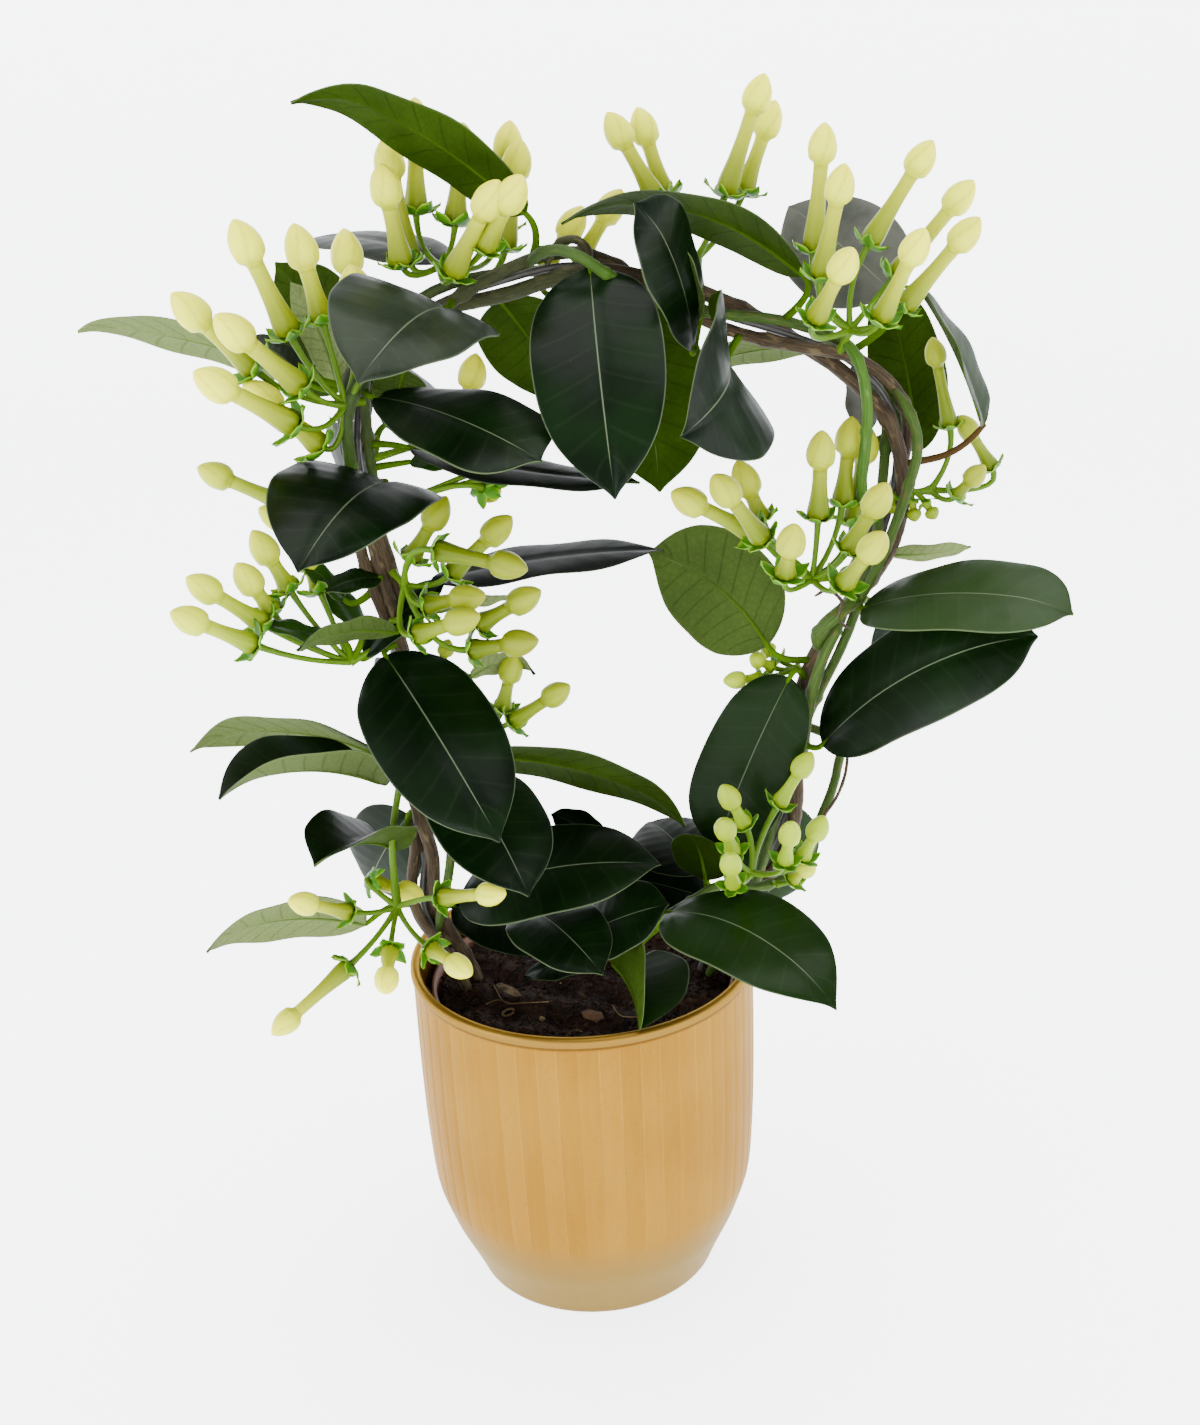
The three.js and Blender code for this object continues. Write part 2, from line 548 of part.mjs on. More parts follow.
        base: [668, 912, -36], tip: [836, 1003], side: 'near', long: 78, wide: 40, turn: 38, bow: 9,
        sway: 2, hook: 3 },
      {
        base: [613, 963, -22], tip: [640, 1030], side: 'near', long: 42, wide: 44, turn: 60, bow: 3,
        cup: 58, via: [[632, 950, -29]] }] },
  twig_low_right: {
    hub: [708, 888, -16], thick: 1.2,
    leaves: [
      { base: [702, 874, -4], tip: [650, 822], side: 'far', long: 46, wide: 34, turn: 30, bow: 3 },
      { base: [706, 880, -17], tip: [692, 834], side: 'near', long: 27, wide: 22, turn: 150, bow: 2 }] },
  twig_back_upper_left: {
    hub: [376, 440, 10], thick: 1.2,
    leaves: [
      { base: [385, 425, 20], tip: [440, 395], side: 'far', long: 66, wide: 38, turn: 15, bow: 5 },
      { base: [370, 460, 20], tip: [350, 480], side: 'far', long: 70, wide: 38, turn: 25, bow: 6 }] },
  twig_back_lower_left: {
    hub: [408, 690, 9], thick: 1.2,
    leaves: [
      { base: [418, 690, 20], tip: [450, 735], side: 'far', long: 68, wide: 38, turn: 20, bow: 5 },
      { base: [398, 700, 18], tip: [380, 705], side: 'far', long: 60, wide: 34, turn: 15, bow: 5 }] },
  twig_back_right: {
    hub: [866, 600, 9], thick: 1.2,
    leaves: [
      { base: [884, 612, 16], tip: [932, 672], side: 'far', long: 60, wide: 36, turn: 10, bow: 5 }] },
};

// ---------------------------------------------------------------- pots and soil

function potGeometry() {
  const { height, rim, lip, shoulder, shoulderHeight, foot, wall, floor, edge, facets } = POT;
  const bead = lip / 2;
  const outer = [
    [0, 0], [foot - edge, 0], [foot, edge], [shoulder - 1.2, shoulderHeight - 3],
    [shoulder, shoulderHeight], [rim - 1, height - lip - 1], [rim - 1.4, height - lip],
    [rim, height - bead], [rim - bead, height]];
  const inner = [
    [rim - wall, height - bead], [shoulder - wall, shoulderHeight], [foot - wall, floor], [0, floor]];
  return lathe([...outer, ...inner], facets);
}

// The grow pot stands on the cover pot's floor. Its wall steps out to a band below the rim.
function growPotGeometry() {
  const { rim, height, foot, wall, band, step: rise, sides } = GROW_POT;
  const base = POT.floor + GAP;
  const step = height - band - rise;
  return lathe([
    [0, base], [foot, base], [rim - wall, step], [rim, step + 1], [rim, height], [rim - wall, height],
    [rim - 2 * wall, step], [foot - wall, base + wall], [0, base + wall]], sides);
}

// The soil fills the grow pot. Its top is uneven, bark chips lie half sunk in it, and each stem and
// hoop leg stands in a plain round hole.
function soilGeometry(feet) {
  const bottom = POT.floor + GROW_POT.wall + 2 * GAP;
  const bottomRadius = GROW_POT.foot - GROW_POT.wall - GAP;
  const topRadius = GROW_POT.rim - 2 * GROW_POT.wall - 2 * GAP;
  const shape = lathe([
    [0, bottom], [bottomRadius, bottom], ...SOIL.rings.map((share) => [share * topRadius, SOIL.top])],
    SOIL.sides);
  const corners = shape.getAttribute('position');
  for (let i = 0; i < corners.count; i += 1) {
    const corner = new Vector3().fromBufferAttribute(corners, i);
    if (corner.z > SOIL.top - 1) {
      const wave = Math.sin(0.31 * corner.x + 1) + Math.cos(0.27 * corner.y + 0.12 * corner.x);
      corners.setZ(i, corner.z + SOIL.roughness * wave);
    }
  }

  const random = seededRandom(SOIL.seed);
  let body = toSolid(shape);
  for (let i = 0; i < CHIPS.count; i += 1) {
    const angle = 2 * Math.PI * random();
    const away = (CHIPS.inner + CHIPS.spread * random()) * topRadius;
    const chip = new THREE.BoxGeometry(7 + 6 * random(), 4 + 3 * random(), CHIPS.thick);
    chip.rotateX(CHIPS.tilt * random()).rotateY(CHIPS.tilt * random()).rotateZ(Math.PI * random());
    chip.translate(away * Math.cos(angle), away * Math.sin(angle), SOIL.top + CHIPS.above);
    body = body.add(toSolid(chip));
  }
  for (const { x, y, radius } of feet) {
    const wide = radius + SOIL_HOLE.slack;
    const deep = SOIL.top - WIRE.foot + 1;
    const hole = new THREE.CylinderGeometry(wide, wide, 2 * deep, SOIL_HOLE.sides);
    body = body.subtract(toSolid(hole.rotateX(Math.PI / 2).translate(x, y, SOIL.top)));
  }
  return toGeometry(body);
}

function seededRandom(seed) {
  let state = seed;
  return () => {
    state = (state * 48271) % 2147483647;
    return state / 2147483647;
  };
}

function lathe(profile, sides) {
  const turned = new THREE.LatheGeometry(profile.map(([r, z]) => new THREE.Vector2(r, z)), sides);
  return toGeometry(toSolid(turned.rotateX(Math.PI / 2)));
}

// ---------------------------------------------------------------- assembly

const FINISH = {
  gilt: { color: 0xcda96a, roughness: 0.4, metalness: 0.55 },
  plastic: { color: 0x6e3f2a, roughness: 0.6, metalness: 0 },
  soil: { color: 0x22160f, roughness: 0.95, metalness: 0 },
  wire: { color: 0x9b9b98, roughness: 0.35, metalness: 0.9 },
  bark: { color: 0x6a5238, roughness: 0.8, metalness: 0 },
  green: { color: 0x5d7f33, roughness: 0.6, metalness: 0 },
  leaf: { color: 0x1f3d1c, roughness: 0.4, metalness: 0 },
  bud: { color: 0xdfe2a4, roughness: 0.55, metalness: 0 },
};
const MATERIALS = Object.fromEntries(
  Object.entries(FINISH).map(([name, look]) => [name, new THREE.MeshStandardMaterial(look)]));

const plant = new THREE.Group();

function add(name, geometry, finish) {
  const mesh = new THREE.Mesh(geometry, MATERIALS[finish]);
  mesh.name = name;
  plant.add(mesh);
}

add('pot', potGeometry(), 'gilt');
add('grow_pot', growPotGeometry(), 'plastic');
const standing = [{ points: hoopPoints, radius: WIRE.radius }, ...stems];
const feet = standing.flatMap(({ points, radius }) => [points[0], points.at(-1)]
  .filter(({ z }) => z < SOIL.top).map(({ x, y }) => ({ x, y, radius })));
add('soil', soilGeometry(feet), 'soil');
add('hoop', tube(hoopPoints, WIRE.radius, WIRE.sides, WIRE.steps), 'wire');
const BARK = { stem_old: 'bark', stem_second: 'bark', stem_young: 'green', low_shoot: 'green' };
for (const { name, points, radius, steps } of stems) {
  add(name, tube(points, radius, STRAND_SIDES, steps), BARK[name]);
}
for (const [name, shape] of Object.entries(LEAVES)) add(name, fuse(leaf(shape)), 'leaf');
for (const [name, shape] of Object.entries(SPRAYS)) add(name, spray(shape), shape.buds ? 'bud' : 'leaf');

export default plant;
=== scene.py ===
# %% [markdown]
# # Madagascar jasmine on a wire hoop
#
# The plant is a climber. Three stems wind round a hoop of wire that stands in a grow pot, inside a
# gilt cover pot. Leathery leaves and clusters of closed, waxy buds grow from the stems on short
# stalks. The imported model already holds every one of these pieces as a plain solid. This script
# keeps each piece where its solid is, and makes it look like the living thing.

import math

import bmesh
import bpy
import numpy as np
from mathutils import Matrix, Vector


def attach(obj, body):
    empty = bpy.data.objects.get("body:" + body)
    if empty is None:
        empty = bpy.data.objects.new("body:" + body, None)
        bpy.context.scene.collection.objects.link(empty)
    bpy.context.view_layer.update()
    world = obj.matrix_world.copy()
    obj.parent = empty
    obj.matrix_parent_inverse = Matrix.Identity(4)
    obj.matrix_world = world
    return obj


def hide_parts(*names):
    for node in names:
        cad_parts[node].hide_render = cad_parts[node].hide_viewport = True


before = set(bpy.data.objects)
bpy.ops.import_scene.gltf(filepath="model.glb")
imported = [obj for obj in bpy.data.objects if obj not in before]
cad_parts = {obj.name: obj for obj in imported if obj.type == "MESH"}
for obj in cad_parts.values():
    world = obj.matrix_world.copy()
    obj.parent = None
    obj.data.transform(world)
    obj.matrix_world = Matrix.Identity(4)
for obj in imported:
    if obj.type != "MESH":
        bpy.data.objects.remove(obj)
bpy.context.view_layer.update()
MM = 0.001

# %% [markdown]
# ## The drawing sheet
#
# The plant's places were read from a front drawing in perspective: u runs right and v runs down a
# sheet of 1200 by 1425 units, and y is the depth in millimetres, negative towards the viewer. One
# sight line for each (u, v) turns such a reading into a point in space. The camera stands at the
# same eye point and looks the same way, so the drawing and the render agree.

# %% Sight lines of the sheet
SHEET_WIDE, SHEET_HIGH, REACH = 1200, 1425, 1800
EYE = np.array([0.0, -599.0, 462.0])
PITCH, YAW, ROLL = (math.radians(angle) for angle in (21.5, 1.04, -2.7))
AHEAD = np.array([math.sin(YAW) * math.cos(PITCH), math.cos(YAW) * math.cos(PITCH), -math.sin(PITCH)])
RIGHT = np.array([math.cos(YAW), -math.sin(YAW), 0.0])
ABOVE = np.cross(RIGHT, AHEAD)
UP = np.array([0.0, 0.0, 1.0])


def unit(vector):
    return vector / np.linalg.norm(vector)


def sight_line(u, v):
    du, dv = u - SHEET_WIDE / 2, v - SHEET_HIGH / 2
    across = (du * math.cos(ROLL) + dv * math.sin(ROLL)) / REACH
    down = (-du * math.sin(ROLL) + dv * math.cos(ROLL)) / REACH
    return AHEAD + RIGHT * across - ABOVE * down


def seen(u, v, y=0.0):
    line = sight_line(u, v)
    return EYE + line * (y - EYE[1]) / line[1]


def seen_at(start, long, place, side):
    """The point on the sight line through place that lies `long` from start, nearer or further."""
    line = unit(sight_line(*place))
    offset = EYE - start
    middle = -line @ offset
    half = math.sqrt(max(middle * middle - offset @ offset + long * long, 0))
    return EYE + line * (middle - half if side == "near" else middle + half)


print("the rim's left end:", seen(437, 985).round(1))

# %% The camera at the eye point
SENSOR_WIDE, CLIP_START = 36, 0.01


def add_object(name, data):
    thing = bpy.data.objects.new(name, data)
    bpy.context.collection.objects.link(thing)
    return thing


camera = add_object("camera", bpy.data.cameras.new("camera"))
cam_right = RIGHT * math.cos(ROLL) + ABOVE * math.sin(ROLL)
cam_up = -RIGHT * math.sin(ROLL) + ABOVE * math.cos(ROLL)
turn = Matrix((cam_right, cam_up, -AHEAD)).transposed()
camera.matrix_world = Matrix.Translation(Vector(EYE * MM)) @ turn.to_4x4()
camera.data.sensor_width, camera.data.clip_start = SENSOR_WIDE, CLIP_START
camera.data.lens = REACH / SHEET_HIGH * SENSOR_WIDE
bpy.context.scene.camera = camera
print("lens:", round(camera.data.lens, 2))

# %% [markdown]
# ## The floor and the light
#
# The plant stands in a wide white bowl: a flat floor whose edge sweeps up into a wall all round, so
# that no horizon shows from any side. The bowl glows a little, as paper does under a light tent. One
# wide soft light from above gives the leaves their grey sheen, a smaller one from the left shapes
# the buds, and the sky fills the shadows. The leaves are glossy, so wide lights matter more than
# strong ones: a small lamp would only leave a spark on each leaf.

# %% Floor, sky and lamps
FLOOR_REACH, SWEEP, WALL_TOP, BOWL_SIDES, BEND_STEPS = 2.4, 1.2, 1.9, 128, 14
PAPER, PAPER_GLOW, GLOW_TINT = (0.84, 0.85, 0.86, 1), 3.6, (0.97, 0.98, 1.0, 1)
SKY_TINT, SKY_POWER = (0.93, 0.95, 1.0, 1), 1.2


def round_angles(count):
    return np.linspace(0, 2 * math.pi, count, endpoint=False)


def studio_bowl():
    """A flat floor that sweeps up into a wall all round."""
    bends = np.linspace(0, math.pi / 2, BEND_STEPS)
    profile = [(FLOOR_REACH * share, 0) for share in (0.1, 0.4, 0.7)]
    profile += [(FLOOR_REACH + SWEEP * math.sin(bend), SWEEP * (1 - math.cos(bend))) for bend in bends]
    profile.append((FLOOR_REACH + SWEEP, WALL_TOP))
    points = [(away * math.cos(angle), away * math.sin(angle), height)
              for away, height in profile for angle in round_angles(BOWL_SIDES)]
    faces = [tuple(range(BOWL_SIDES))]
    for low in range(0, (len(profile) - 1) * BOWL_SIDES, BOWL_SIDES):
        for side in range(BOWL_SIDES):
            here, beside = low + side, low + (side + 1) % BOWL_SIDES
            faces.append((here, here + BOWL_SIDES, beside + BOWL_SIDES, beside))
    mesh = bpy.data.meshes.new("studio_floor")
    mesh.from_pydata(points, [], faces)
    mesh.shade_smooth()
    return mesh


def paper_paint():
    paint = bpy.data.materials.new("white_paper")
    paint.use_nodes = True
    shader = paint.node_tree.nodes["Principled BSDF"].inputs
    for socket, value in (
            ("Base Color", PAPER), ("Roughness", 0.9), ("Specular IOR Level", 0.1),
            ("Emission Color", GLOW_TINT), ("Emission Strength", PAPER_GLOW)):
        shader[socket].default_value = value
    return paint


floor = add_object("studio_floor", studio_bowl())
floor.data.materials.append(paper_paint())

sky = bpy.data.worlds.new("sky")
bpy.context.scene.world = sky
sky.use_nodes = True
sky.node_tree.nodes["Background"].inputs["Color"].default_value = SKY_TINT
sky.node_tree.nodes["Background"].inputs["Strength"].default_value = SKY_POWER


def soft_lamp(name, place, target, size, power, colour):
    lamp = add_object(name, bpy.data.lights.new(name, "AREA"))
    lamp.data.shape = "DISK"
    lamp.data.size, lamp.data.energy, lamp.data.color = size, power, colour
    aim = (Vector(target) - Vector(place)).to_track_quat("-Z", "Y")
    lamp.matrix_world = Matrix.Translation(place) @ aim.to_matrix().to_4x4()


soft_lamp("overhead", (0.1, 0.2, 1.5), (0, 0, 0.2), 1.4, 30, (1.0, 0.99, 0.97))
soft_lamp("left_window", (-1.2, -0.8, 0.9), (0, 0, 0.25), 0.9, 12, (0.96, 0.98, 1.0))
print("lights:", [thing.name for thing in bpy.data.lights])

# %% [markdown]
# ## A bench for node trees
#
# Materials and Geometry Nodes are both trees of nodes. Written out one link at a time they are hard
# to read, so a small class wraps a socket and lets ordinary arithmetic add the Math nodes. Every
# other node comes from one method, which takes the node's type, its settings, and what goes into
# its sockets, by name or by number.

# %% Wires and benches
class Wire:
    """One output socket. Arithmetic on it adds Math nodes to its bench."""

    def __init__(self, bench, socket):
        self.bench, self.socket = bench, socket

    def maths(self, operation, *others):
        return self.bench.maths(operation, self, *others)

    def __add__(self, other):
        return self.maths("ADD", other)

    def __sub__(self, other):
        return self.maths("SUBTRACT", other)

    def __rsub__(self, other):
        return self.bench.maths("SUBTRACT", other, self)

    def __mul__(self, other):
        return self.maths("MULTIPLY", other)

    def __truediv__(self, other):
        return self.maths("DIVIDE", other)

    def __pow__(self, other):
        return self.maths("POWER", other)

    def __abs__(self):
        return self.maths("ABSOLUTE")

    __radd__ = __add__
    __rmul__ = __mul__

    def fraction(self):
        return self.maths("FRACT")

    def smooth(self, low, high):
        """0 below low, 1 above high, and an even S between them."""
        sockets = {"Value": self, "From Min": low, "From Max": high}
        return self.bench.node("ShaderNodeMapRange", {"interpolation_type": "SMOOTHSTEP"}, sockets)


class Bench:
    """A node tree to build on."""

    def __init__(self, tree):
        self.tree = tree

    def node(self, kind, settings=None, *values, out=0, ramp=None):
        made = self.tree.nodes.new(kind)
        for name, value in (settings or {}).items():
            setattr(made, name, value)
        if ramp:
            self.set_stops(made.color_ramp.elements, ramp)
        sockets = values[0] if values and isinstance(values[0], dict) else dict(enumerate(values))
        for key, value in sockets.items():
            self.put(value, self.find(made.inputs, key))
        return Wire(self, self.find(made.outputs, out))

    def find(self, sockets, key):
        shown = [socket for socket in sockets if socket.enabled]
        return shown[key] if isinstance(key, int) else next(s for s in shown if s.name == key)

    def put(self, value, socket):
        if isinstance(value, Wire):
            self.tree.links.new(value.socket, socket)
        elif isinstance(value, tuple) and socket.type == "RGBA":
            socket.default_value = (*value, 1)
        else:
            socket.default_value = value

    def set_stops(self, elements, stops):
        while len(elements) < len(stops):
            elements.new(1)
        for element, (place, colour) in zip(elements, stops):
            element.position, element.color = place, (*colour, 1)

    def maths(self, operation, *values):
        return self.node("ShaderNodeMath", {"operation": operation}, *values)

    def vector_maths(self, operation, *values):
        return self.node("ShaderNodeVectorMath", {"operation": operation}, *values)

    def xyz(self, *parts):
        return self.node("ShaderNodeCombineXYZ", None, *parts)

    def parts_of(self, vector):
        split = self.node("ShaderNodeSeparateXYZ", None, vector).socket.node
        return [Wire(self, socket) for socket in split.outputs]

    def here(self):
        return self.node("ShaderNodeTexCoord", out="Object")

    def attribute(self, name, out="Fac"):
        return self.node("ShaderNodeAttribute", {"attribute_name": name}, out=out)

    def noise(self, scale, detail=3, vector=None, rough=0.5):
        sockets = {"Scale": scale, "Detail": detail, "Roughness": rough, "Vector": vector or self.here()}
        return self.node("ShaderNodeTexNoise", None, sockets)

    def blend(self, share, first, second):
        sockets = {"Factor": share, "A": first, "B": second}
        return self.node("ShaderNodeMix", {"data_type": "RGBA"}, sockets, out="Result")

    def layers(self, colour, *coats):
        """A colour with coats over it, each given as (how much of it shows, its colour)."""
        for share, coat in coats:
            colour = self.blend(share, colour, coat)
        return colour


class Finish(Bench):
    """A material, whose main shader is fed by socket name."""

    def __init__(self, name, **constants):
        self.material = bpy.data.materials.new(name)
        self.material.use_nodes = True
        super().__init__(self.material.node_tree)
        self.feed(**constants)

    def feed(self, **values):
        shader = self.tree.nodes["Principled BSDF"]
        for socket, value in values.items():
            self.put(value, shader.inputs[socket.replace("_", " ")])
        return self.material

    def bump(self, height, strength, distance):
        sockets = {"Height": height, "Strength": strength, "Distance": distance}
        return self.node("ShaderNodeBump", None, sockets, out="Normal")


def shade(red, green, blue):
    """The linear colour of a paint-box colour from 0 to 255."""
    return tuple(round((part / 255) ** 2.2, 5) for part in (red, green, blue))


print("paper white:", shade(240, 240, 240))

# %% [markdown]
# ## Leaf finish
#
# The upper face of a leaf is dark and waxy, with a thin pale midrib, faint side veins that dip
# between soft pleats, and a hair-thin pale margin. The under face is lighter and matt, and light
# that comes through it makes the veins show as a net. Each leaf mesh carries its own readings for
# this: across (-1 to 1), along (0 to 1), under (0 above, 1 below), stalk, tone, which makes one leaf's
# upper face lighter than the next's, grey, which paints a grey sheen on its upper face, the
# reflection of the bright surroundings, dim, which paints shade on a leaf that lies in the shade of
# others, and pale, which paints light on its under face where light shines through it or falls on it.

# %% Leaf colours
DARK_GREEN, DEEP_GREEN, LIGHT_GREEN = shade(8, 18, 7), shade(12, 26, 9), shade(38, 66, 14)
UNDER_GREEN, UNDER_LIGHT, UNDER_VEIN = shade(32, 46, 12), shade(42, 58, 18), shade(22, 34, 8)
# The last of these greys is a painted sheen, the reflection of the bright surroundings on upper faces; sage
# colours the under face's midrib and margin, and is also painted light on under faces that light shines
# through.
SAGE, PALE_VEIN, PAINTED_SHEEN_GREY = shade(92, 104, 64), shade(98, 108, 84), shade(84, 84, 78)
# The last green here paints shade on leaves that lie in the shade of others.
STALK_GREEN, STALK_BROWN, DIM_GREEN = shade(54, 78, 12), shade(58, 44, 26), shade(5, 12, 4)
print("a leaf's dark green is", DARK_GREEN)

# %% Leaf material
VEIN_PAIRS, VEIN_LEAN, VEIN_CURVE = 9, 1.5, 0.5
TONES = "tone", "pale", "grey", "dim"
NET_SCALE, WAX_COAT = 420.0, 0.13


def vein_count(along, off):
    """How many side veins lie before a place on the blade, for numbers and wires alike."""
    return along * VEIN_PAIRS - off * VEIN_LEAN + off * off * VEIN_CURVE


def leaf_finish():
    leaf = Finish("leaf_skin", Coat_Roughness=0.3, Specular_IOR_Level=0.008)
    across, along, under, stalk = map(leaf.attribute, ("across", "along", "under", "stalk"))
    tone, pale, grey, dim = map(leaf.attribute, TONES)
    off = abs(across)

    midrib = (1 - off.smooth(0.004, 0.018)) * (1 - along.smooth(0.8, 0.98))
    phase = vein_count(along, off).fraction()
    side_vein = 1 - abs(phase - 0.5).smooth(0.02, 0.09)
    side_vein = side_vein * off.smooth(0.0, 0.1) * (1 - off.smooth(0.8, 0.98))
    pleat = (phase * 2 * math.pi).maths("SINE")
    margin = off.smooth(0.972, 0.99)
    cells = leaf.node("ShaderNodeTexVoronoi", {"feature": "DISTANCE_TO_EDGE"},
                      {"Vector": leaf.here(), "Scale": NET_SCALE})
    net = 1 - cells.smooth(0.02, 0.16)
    mottle, dust = leaf.noise(45, 4), leaf.noise(900, 2)

    # Upper face: the grey reading adds a painted sheen, a reflection of the bright surroundings.
    above = leaf.layers(
        leaf.blend(mottle.smooth(0.35, 0.7), DARK_GREEN, DEEP_GREEN), (tone.smooth(0.0, 1.0), LIGHT_GREEN),
        (grey * mottle.smooth(0.1, 0.6), PAINTED_SHEEN_GREY), (side_vein * 0.015, PALE_VEIN),
        (midrib * 0.5, PALE_VEIN), (margin * 0.3, PALE_VEIN), (dust.smooth(0.72, 0.8) * 0.08, PALE_VEIN))
    # Under face: the pale reading adds painted light, where light shines through the leaf or falls on it.
    below = leaf.layers(
        leaf.blend(mottle.smooth(0.3, 0.75), UNDER_GREEN, UNDER_LIGHT), (pale.smooth(0.0, 1.0), SAGE),
        (side_vein * 0.3, UNDER_VEIN), (net * 0.14, UNDER_VEIN), (midrib * 0.25, SAGE), (margin * 0.3, SAGE))
    # The dim reading paints shade on leaves in the shade of others.
    skin = leaf.layers(
        leaf.blend(under, above, below), (dim, DIM_GREEN), (stalk.smooth(0.0, 1.0), STALK_GREEN),
        (stalk.smooth(1.0, 2.0), STALK_BROWN))
    relief = side_vein * (under - 0.15) + pleat * 0.06 + midrib * (under - 0.5) + net * under * 0.25
    return leaf.feed(
        Base_Color=skin, Roughness=0.42 + under * 0.2 + mottle * 0.08, Normal=leaf.bump(relief, 0.3, 0.0005),
        Coat_Weight=(1 - under) * (1 - dim) * WAX_COAT)


LEAF_SKIN = leaf_finish()
print("leaf finish:", len(LEAF_SKIN.node_tree.nodes), "nodes")

# %% [markdown]
# ## Bud, sepal and stalk finish
#
# A bud is waxy and matt. It runs from grass green in its stalk and sepals, over yellow green in the
# lower tube, to cream in the swollen head. A reading called ripe, from 0 at the stem to 1 at the
# bud's point, drives one colour ramp, so the whole cluster changes colour without a seam. A second
# reading, fold, darkens the lines where the five petals wrap over each other: painted shade in the
# creases between them. A reading called dim paints shade on buds that lie deep in a cluster.

# %% Bud material
RIPE_STOPS = [
    (0.0, shade(58, 82, 6)), (0.17, shade(70, 98, 8)), (0.2, shade(44, 86, 4)), (0.26, shade(62, 108, 8)),
    (0.3, shade(108, 140, 34)), (0.36, shade(90, 104, 8)), (0.46, shade(110, 120, 10)),
    (0.62, shade(146, 152, 22)), (0.8, shade(194, 198, 32)), (1.0, shade(212, 208, 38))]
# The first of these greens paints shade in the creases between the wrapped petals, and the last paints shade
# on buds deep in a cluster.
CREASE_SHADE_GREEN, YOUNG_GREEN, DIM_BUD = shade(128, 138, 22), shade(116, 142, 12), shade(34, 44, 4)


def bud_finish():
    wax = Finish("bud_wax", Specular_IOR_Level=0.1, Coat_Roughness=0.4, Subsurface_Weight=0.08,
                 Subsurface_Radius=(0.8, 0.9, 0.4), Subsurface_Scale=0.002)
    ripe, fold, young, dim = map(wax.attribute, ("ripe", "fold", "young", "dim"))
    cloud = wax.noise(140, 3) - 0.5
    colour = wax.layers(
        wax.node("ShaderNodeValToRGB", None, ripe + cloud * 0.05, ramp=RIPE_STOPS, out="Color"),
        # Painted shade in the creases where the petals wrap over each other.
        (fold * 0.45, CREASE_SHADE_GREEN), (young * ripe.smooth(0.34, 0.4), YOUNG_GREEN),
        # Painted shade on buds that lie deep in a cluster.
        (dim * ripe.smooth(0.3, 0.4), DIM_BUD))
    normal = wax.bump(wax.noise(900, 2) + cloud, 0.12, 0.0003)
    return wax.feed(
        Base_Color=colour, Roughness=0.46 + cloud * 0.15, Coat_Weight=0.03 + ripe * 0.04, Normal=normal)


BUD_WAX = bud_finish()
print("bud finish:", len(BUD_WAX.node_tree.nodes), "nodes")

# %% [markdown]
# ## Stem finishes
#
# The two older stems have brown, grooved bark that runs along the stem, with paler cork where it
# has split, and are still grey-green over the top left, where they grew last. The youngest stem and
# the low shoot are still green, with brown specks. The grooves must follow the stem round the hoop,
# so the pattern reads a coordinate that the stem tree stores on its surface: a circle round the
# stem, and the length along it.

# %% Bark and green stem materials
FRESH_BARK, FRESH_LIGHT = shade(26, 32, 14), shade(46, 56, 24)


def stem_finish(name, dark, light, cork, groove):
    bark = Finish(name, Specular_IOR_Level=0.2)
    place = bark.attribute("bark", out="Vector")
    streak = bark.noise(2.6, 5, bark.vector_maths("MULTIPLY", place, (2.4, 2.4, 0.35)), 0.6)
    ridge = bark.noise(9, 4, place, 0.65)
    scar = bark.noise(1.1, 2, place)
    across, _, height = bark.parts_of(bark.here())
    fresh = height.smooth(0.31, 0.34) * (1 - across.smooth(0.0, 0.03))
    colour = bark.layers(
        bark.blend(streak.smooth(0.35, 0.68), dark, light), (scar.smooth(0.56, 0.7) * 0.7, cork),
        (fresh * 0.75, bark.blend(streak, FRESH_BARK, FRESH_LIGHT)))
    normal = bark.bump(streak + ridge * 0.5, groove, 0.0008)
    return bark.feed(Base_Color=colour, Roughness=0.55 + ridge * 0.3, Normal=normal)


OLD_BARK = stem_finish("old_bark", shade(36, 28, 17), shade(64, 52, 34), shade(86, 74, 50), 0.5)
GREEN_BARK = stem_finish("green_bark", shade(34, 50, 10), shade(52, 72, 16), shade(70, 62, 30), 0.25)
FRESH_SHOOT = stem_finish("fresh_shoot", shade(40, 66, 10), shade(58, 88, 18), shade(70, 92, 40), 0.15)
print("bark finishes:", OLD_BARK.name, GREEN_BARK.name, FRESH_SHOOT.name)

# %% [markdown]
# ## Wire, nursery plastic, soil and bark chips
#
# These are seen in small areas between the leaves. The wire is dull galvanised steel. The grow pot
# is matt, terracotta-brown plastic. The soil is nearly black, with fibres, and bark chips and dry
# scraps lie on it.

# %% The small finishes
def wire_finish():
    wire = Finish("galvanised_wire", Metallic=0.35)
    spangle = wire.noise(320, 3)
    colour = wire.blend(spangle, shade(34, 33, 29), shade(58, 56, 52))
    return wire.feed(Base_Color=colour, Roughness=0.4 + spangle * 0.25)


def plastic_finish():
    plastic = Finish("nursery_plastic")
    scuff = plastic.noise(70, 5)
    colour = plastic.blend(scuff, shade(72, 38, 20), shade(98, 56, 32))
    normal = plastic.bump(scuff, 0.15, 0.0005)
    return plastic.feed(Base_Color=colour, Roughness=0.5 + scuff * 0.2, Normal=normal)


def earth_finish(name, dark, light, scale):
    earth = Finish(name, Specular_IOR_Level=0.1)
    crumb, fine = earth.noise(scale, 6, rough=0.65), earth.noise(scale * 5, 3)
    colour = earth.blend(crumb.smooth(0.3, 0.72), dark, light)
    normal = earth.bump(crumb + fine * 0.5, 1.0, 0.001)
    return earth.feed(Base_Color=colour, Roughness=0.85 + fine * 0.1, Normal=normal)


